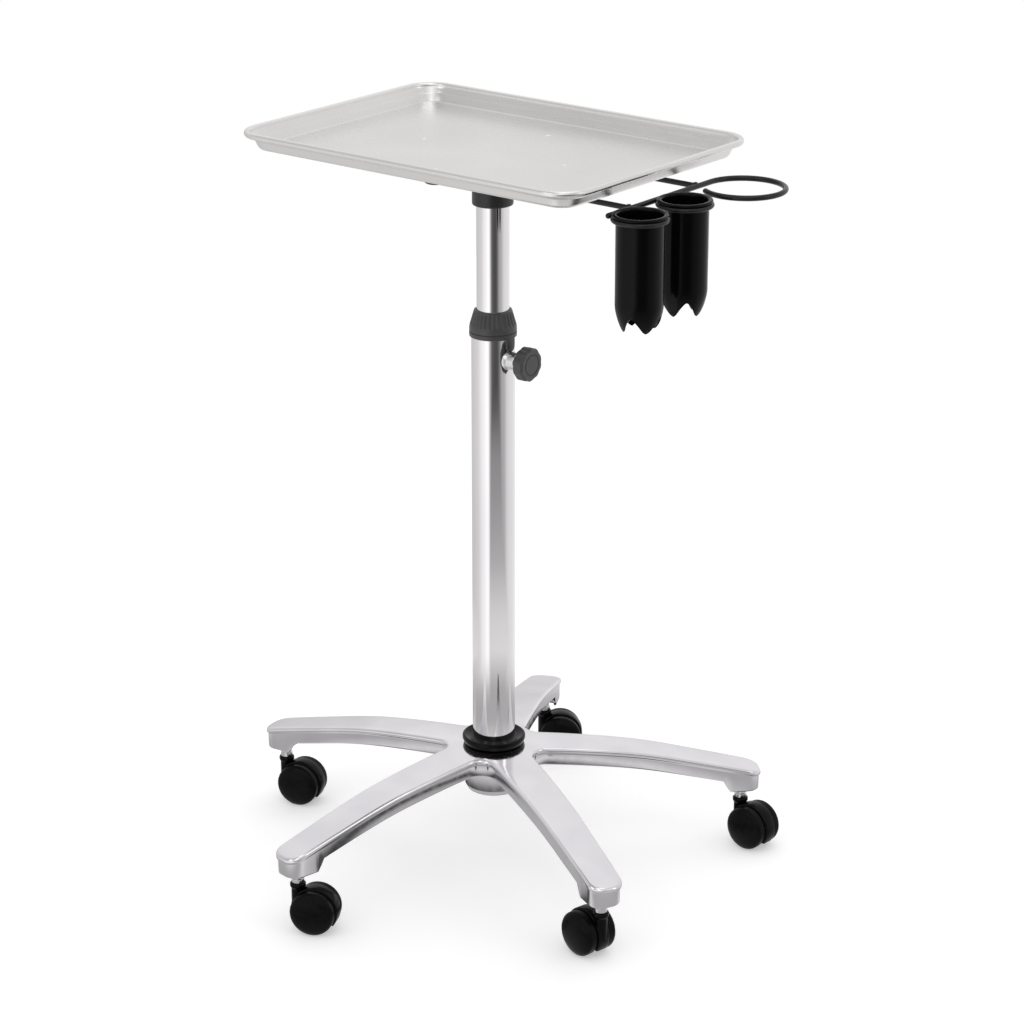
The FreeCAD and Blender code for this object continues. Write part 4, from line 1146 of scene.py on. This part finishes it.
def grey_ramp(tree, where, stops, tone):
    """Colour ramp with a grey at each (place, level). The tone makes it faintly warm."""
    made = node(tree, "ShaderNodeValToRGB", {"Fac": where})
    ramp = made.color_ramp
    for k, (position, level) in enumerate(stops):
        new = 0 < k < len(stops) - 1
        element = ramp.elements.new(position) if new else ramp.elements[0 if k == 0 else -1]
        element.position = position
        share = level / BRIGHTEST
        element.color = (share, share * tone[0], share * tone[1], 1.0)
    return made.outputs["Color"]


def grey_ring(tree, fraction, stops):
    """The greys of a ring, given by compass angle in degrees."""
    stops = [((degrees + 180) / 360, level) for degrees, level in stops]
    return grey_ramp(tree, fraction, stops, (0.985, 0.99))


def build_sky():
    world = bpy.data.worlds.new("studio_sky")
    scene.world = world
    world.use_nodes = True
    tree = world.node_tree
    tree.nodes.clear()
    where = node(tree, "ShaderNodeTexCoord")
    fraction, height = compass(tree, where.outputs["Generated"])
    lift = node(tree, "ShaderNodeMapRange", {"From Min": 0.02, "From Max": 0.45, "Value": height},
                interpolation_type="SMOOTHSTEP")
    rise = node(tree, "ShaderNodeMixRGB", {"Fac": lift.outputs["Result"],
                                           "Color1": grey_ring(tree, fraction, HORIZON),
                                           "Color2": grey_ring(tree, fraction, OVERHEAD)})
    felt = node(tree, "ShaderNodeBackground",
                {"Color": rise.outputs["Color"], "Strength": STUDIO_STRENGTH})
    seen = node(tree, "ShaderNodeBackground", {"Color": (1, 1, 1, 1)})
    path = node(tree, "ShaderNodeLightPath")
    mix = node(tree, "ShaderNodeMixShader", {"Fac": path.outputs["Is Camera Ray"],
                                             1: felt.outputs["Background"],
                                             2: seen.outputs["Background"]})
    node(tree, "ShaderNodeOutputWorld", {"Surface": mix.outputs["Shader"]})


build_sky()
print("sky rings:", len(HORIZON), "and", len(OVERHEAD), "greys")

# %% [markdown]
# ## The floor
#
# To the eye the floor is a white sheet that keeps a soft shadow under the casters. In the
# metal it looks different: the foot of a tube mirrors the floor close by, and a higher
# part of it the floor far away. So mirrored rays find the floor glowing with a painted grey
# near the cart, painted shade that depends on the distance alone, and further out the lighter
# of that grey and the sky's ring. A narrow dark ring of painted shade near the hub stands for
# the shade under the arms, and the sides of the casting mirror it as a dark line.

# %% A white floor that mirrors as a studio
FLOOR_RADIUS = 2.6
# Painted greys that the floor glows with for mirrored rays: painted shade near the hub and under
# the arms, lighter further out, fading far away.
FLOOR_PAINTED_GREYS = ((0.0, 0.50), (0.165, 0.42), (0.185, 0.06), (0.205, 0.06), (0.235, 0.50),
              (0.265, 0.74), (0.30, 0.60), (0.35, 0.42), (0.45, 0.42), (0.58, 0.74), (0.72, 0.68),
              (0.98, 0.45), (1.18, 0.38), (1.42, 0.32), (1.70, 0.28), (2.20, 0.12), (2.60, 0.07))


def painted_floor_greys(tree, distance):
    """Painted grey by distance from the column, in metres, with painted shade near the hub."""
    share = node(tree, "ShaderNodeMapRange", {"From Max": FLOOR_RADIUS, "Value": distance})
    stops = [(reach / FLOOR_RADIUS, level) for reach, level in FLOOR_PAINTED_GREYS]
    return grey_ramp(tree, share.outputs["Result"], stops, (0.98, 0.985))


def mirrored_floor(tree):
    """What a mirror sees of the floor: a glow of painted greys near the cart, the horizon's further
    out.
    """
    where = node(tree, "ShaderNodeTexCoord").outputs["Object"]
    fraction, _ = compass(tree, where)
    distance = node(tree, "ShaderNodeVectorMath", {0: where}, operation="LENGTH").outputs["Value"]
    near = painted_floor_greys(tree, distance)
    lighter = node(tree, "ShaderNodeMixRGB",
                   {"Fac": 1.0, "Color1": grey_ring(tree, fraction, HORIZON), "Color2": near},
                   blend_type="LIGHTEN")
    apart = node(tree, "ShaderNodeMapRange",
                 {"From Min": 0.38, "From Max": 0.60, "Value": distance},
                 interpolation_type="SMOOTHSTEP")
    flat = node(tree, "ShaderNodeMixRGB", {"Fac": apart.outputs["Result"], "Color1": near,
                                           "Color2": lighter.outputs["Color"]})
    # The floor glows with these painted greys for mirrored rays only.
    glow = node(tree, "ShaderNodeEmission",
                {"Color": flat.outputs["Color"], "Strength": STUDIO_STRENGTH})
    return glow.outputs["Emission"]


def white_paper(tree):
    """What the camera sees: matt white that takes shadows, lifted a little to plain white."""
    paper = node(tree, "ShaderNodeBsdfDiffuse", {"Color": (0.86, 0.86, 0.86, 1)})
    glow = node(tree, "ShaderNodeEmission", {"Strength": 0.36})
    both = node(tree, "ShaderNodeAddShader",
                {0: paper.outputs["BSDF"], 1: glow.outputs["Emission"]})
    return both.outputs["Shader"]


def build_floor():
    mesh = bpy.data.meshes.new("floor_sheet")
    ring = [(*spot(FULL * i / 96, FLOOR_RADIUS), -0.0004) for i in range(96)]
    mesh.from_pydata(ring, [], [tuple(range(96))])
    floor = bpy.data.objects.new("floor_sheet", mesh)
    scene.collection.objects.link(floor)
    material = bpy.data.materials.new("floor_white")
    material.use_nodes = True
    tree = material.node_tree
    tree.nodes.clear()
    path = node(tree, "ShaderNodeLightPath")
    mix = node(tree, "ShaderNodeMixShader", {"Fac": path.outputs["Is Glossy Ray"],
                                             1: white_paper(tree), 2: mirrored_floor(tree)})
    node(tree, "ShaderNodeOutputMaterial", {"Surface": mix.outputs["Shader"]})
    mesh.materials.append(material)


build_floor()
print("floor radius:", FLOOR_RADIUS, "m")

# %% [markdown]
# ## The lamps
#
# Three large soft lamps stand round the cart. They put the long highlights on the black
# cups and hoods and throw the soft shadow under the casters. They are kept low, because
# most of the light already comes from the white studio.

# %% Three soft lamps


def soft_lamp(name, place_m, aim_m, size, power):
    data = bpy.data.lights.new(name, "AREA")
    data.shape = "RECTANGLE"
    data.size, data.size_y = size
    data.energy = power
    lamp = bpy.data.objects.new(name, data)
    lamp.location = place_m
    lamp.rotation_euler = (Vector(aim_m) - Vector(place_m)).to_track_quat("-Z", "Y").to_euler()
    scene.collection.objects.link(lamp)


soft_lamp("key_lamp", (-0.6, -3.0, 2.6), (0, 0, 0.5), (1.2, 1.6), 7.0)
soft_lamp("side_lamp", (3.0, 0.6, 2.0), (0, 0, 0.5), (0.9, 1.6), 4.0)
soft_lamp("top_lamp", (0.2, 0.3, 3.4), (0, 0, 0.8), (1.6, 1.6), 5.0)
scene.view_settings.view_transform = "Standard"
print("lamps made")
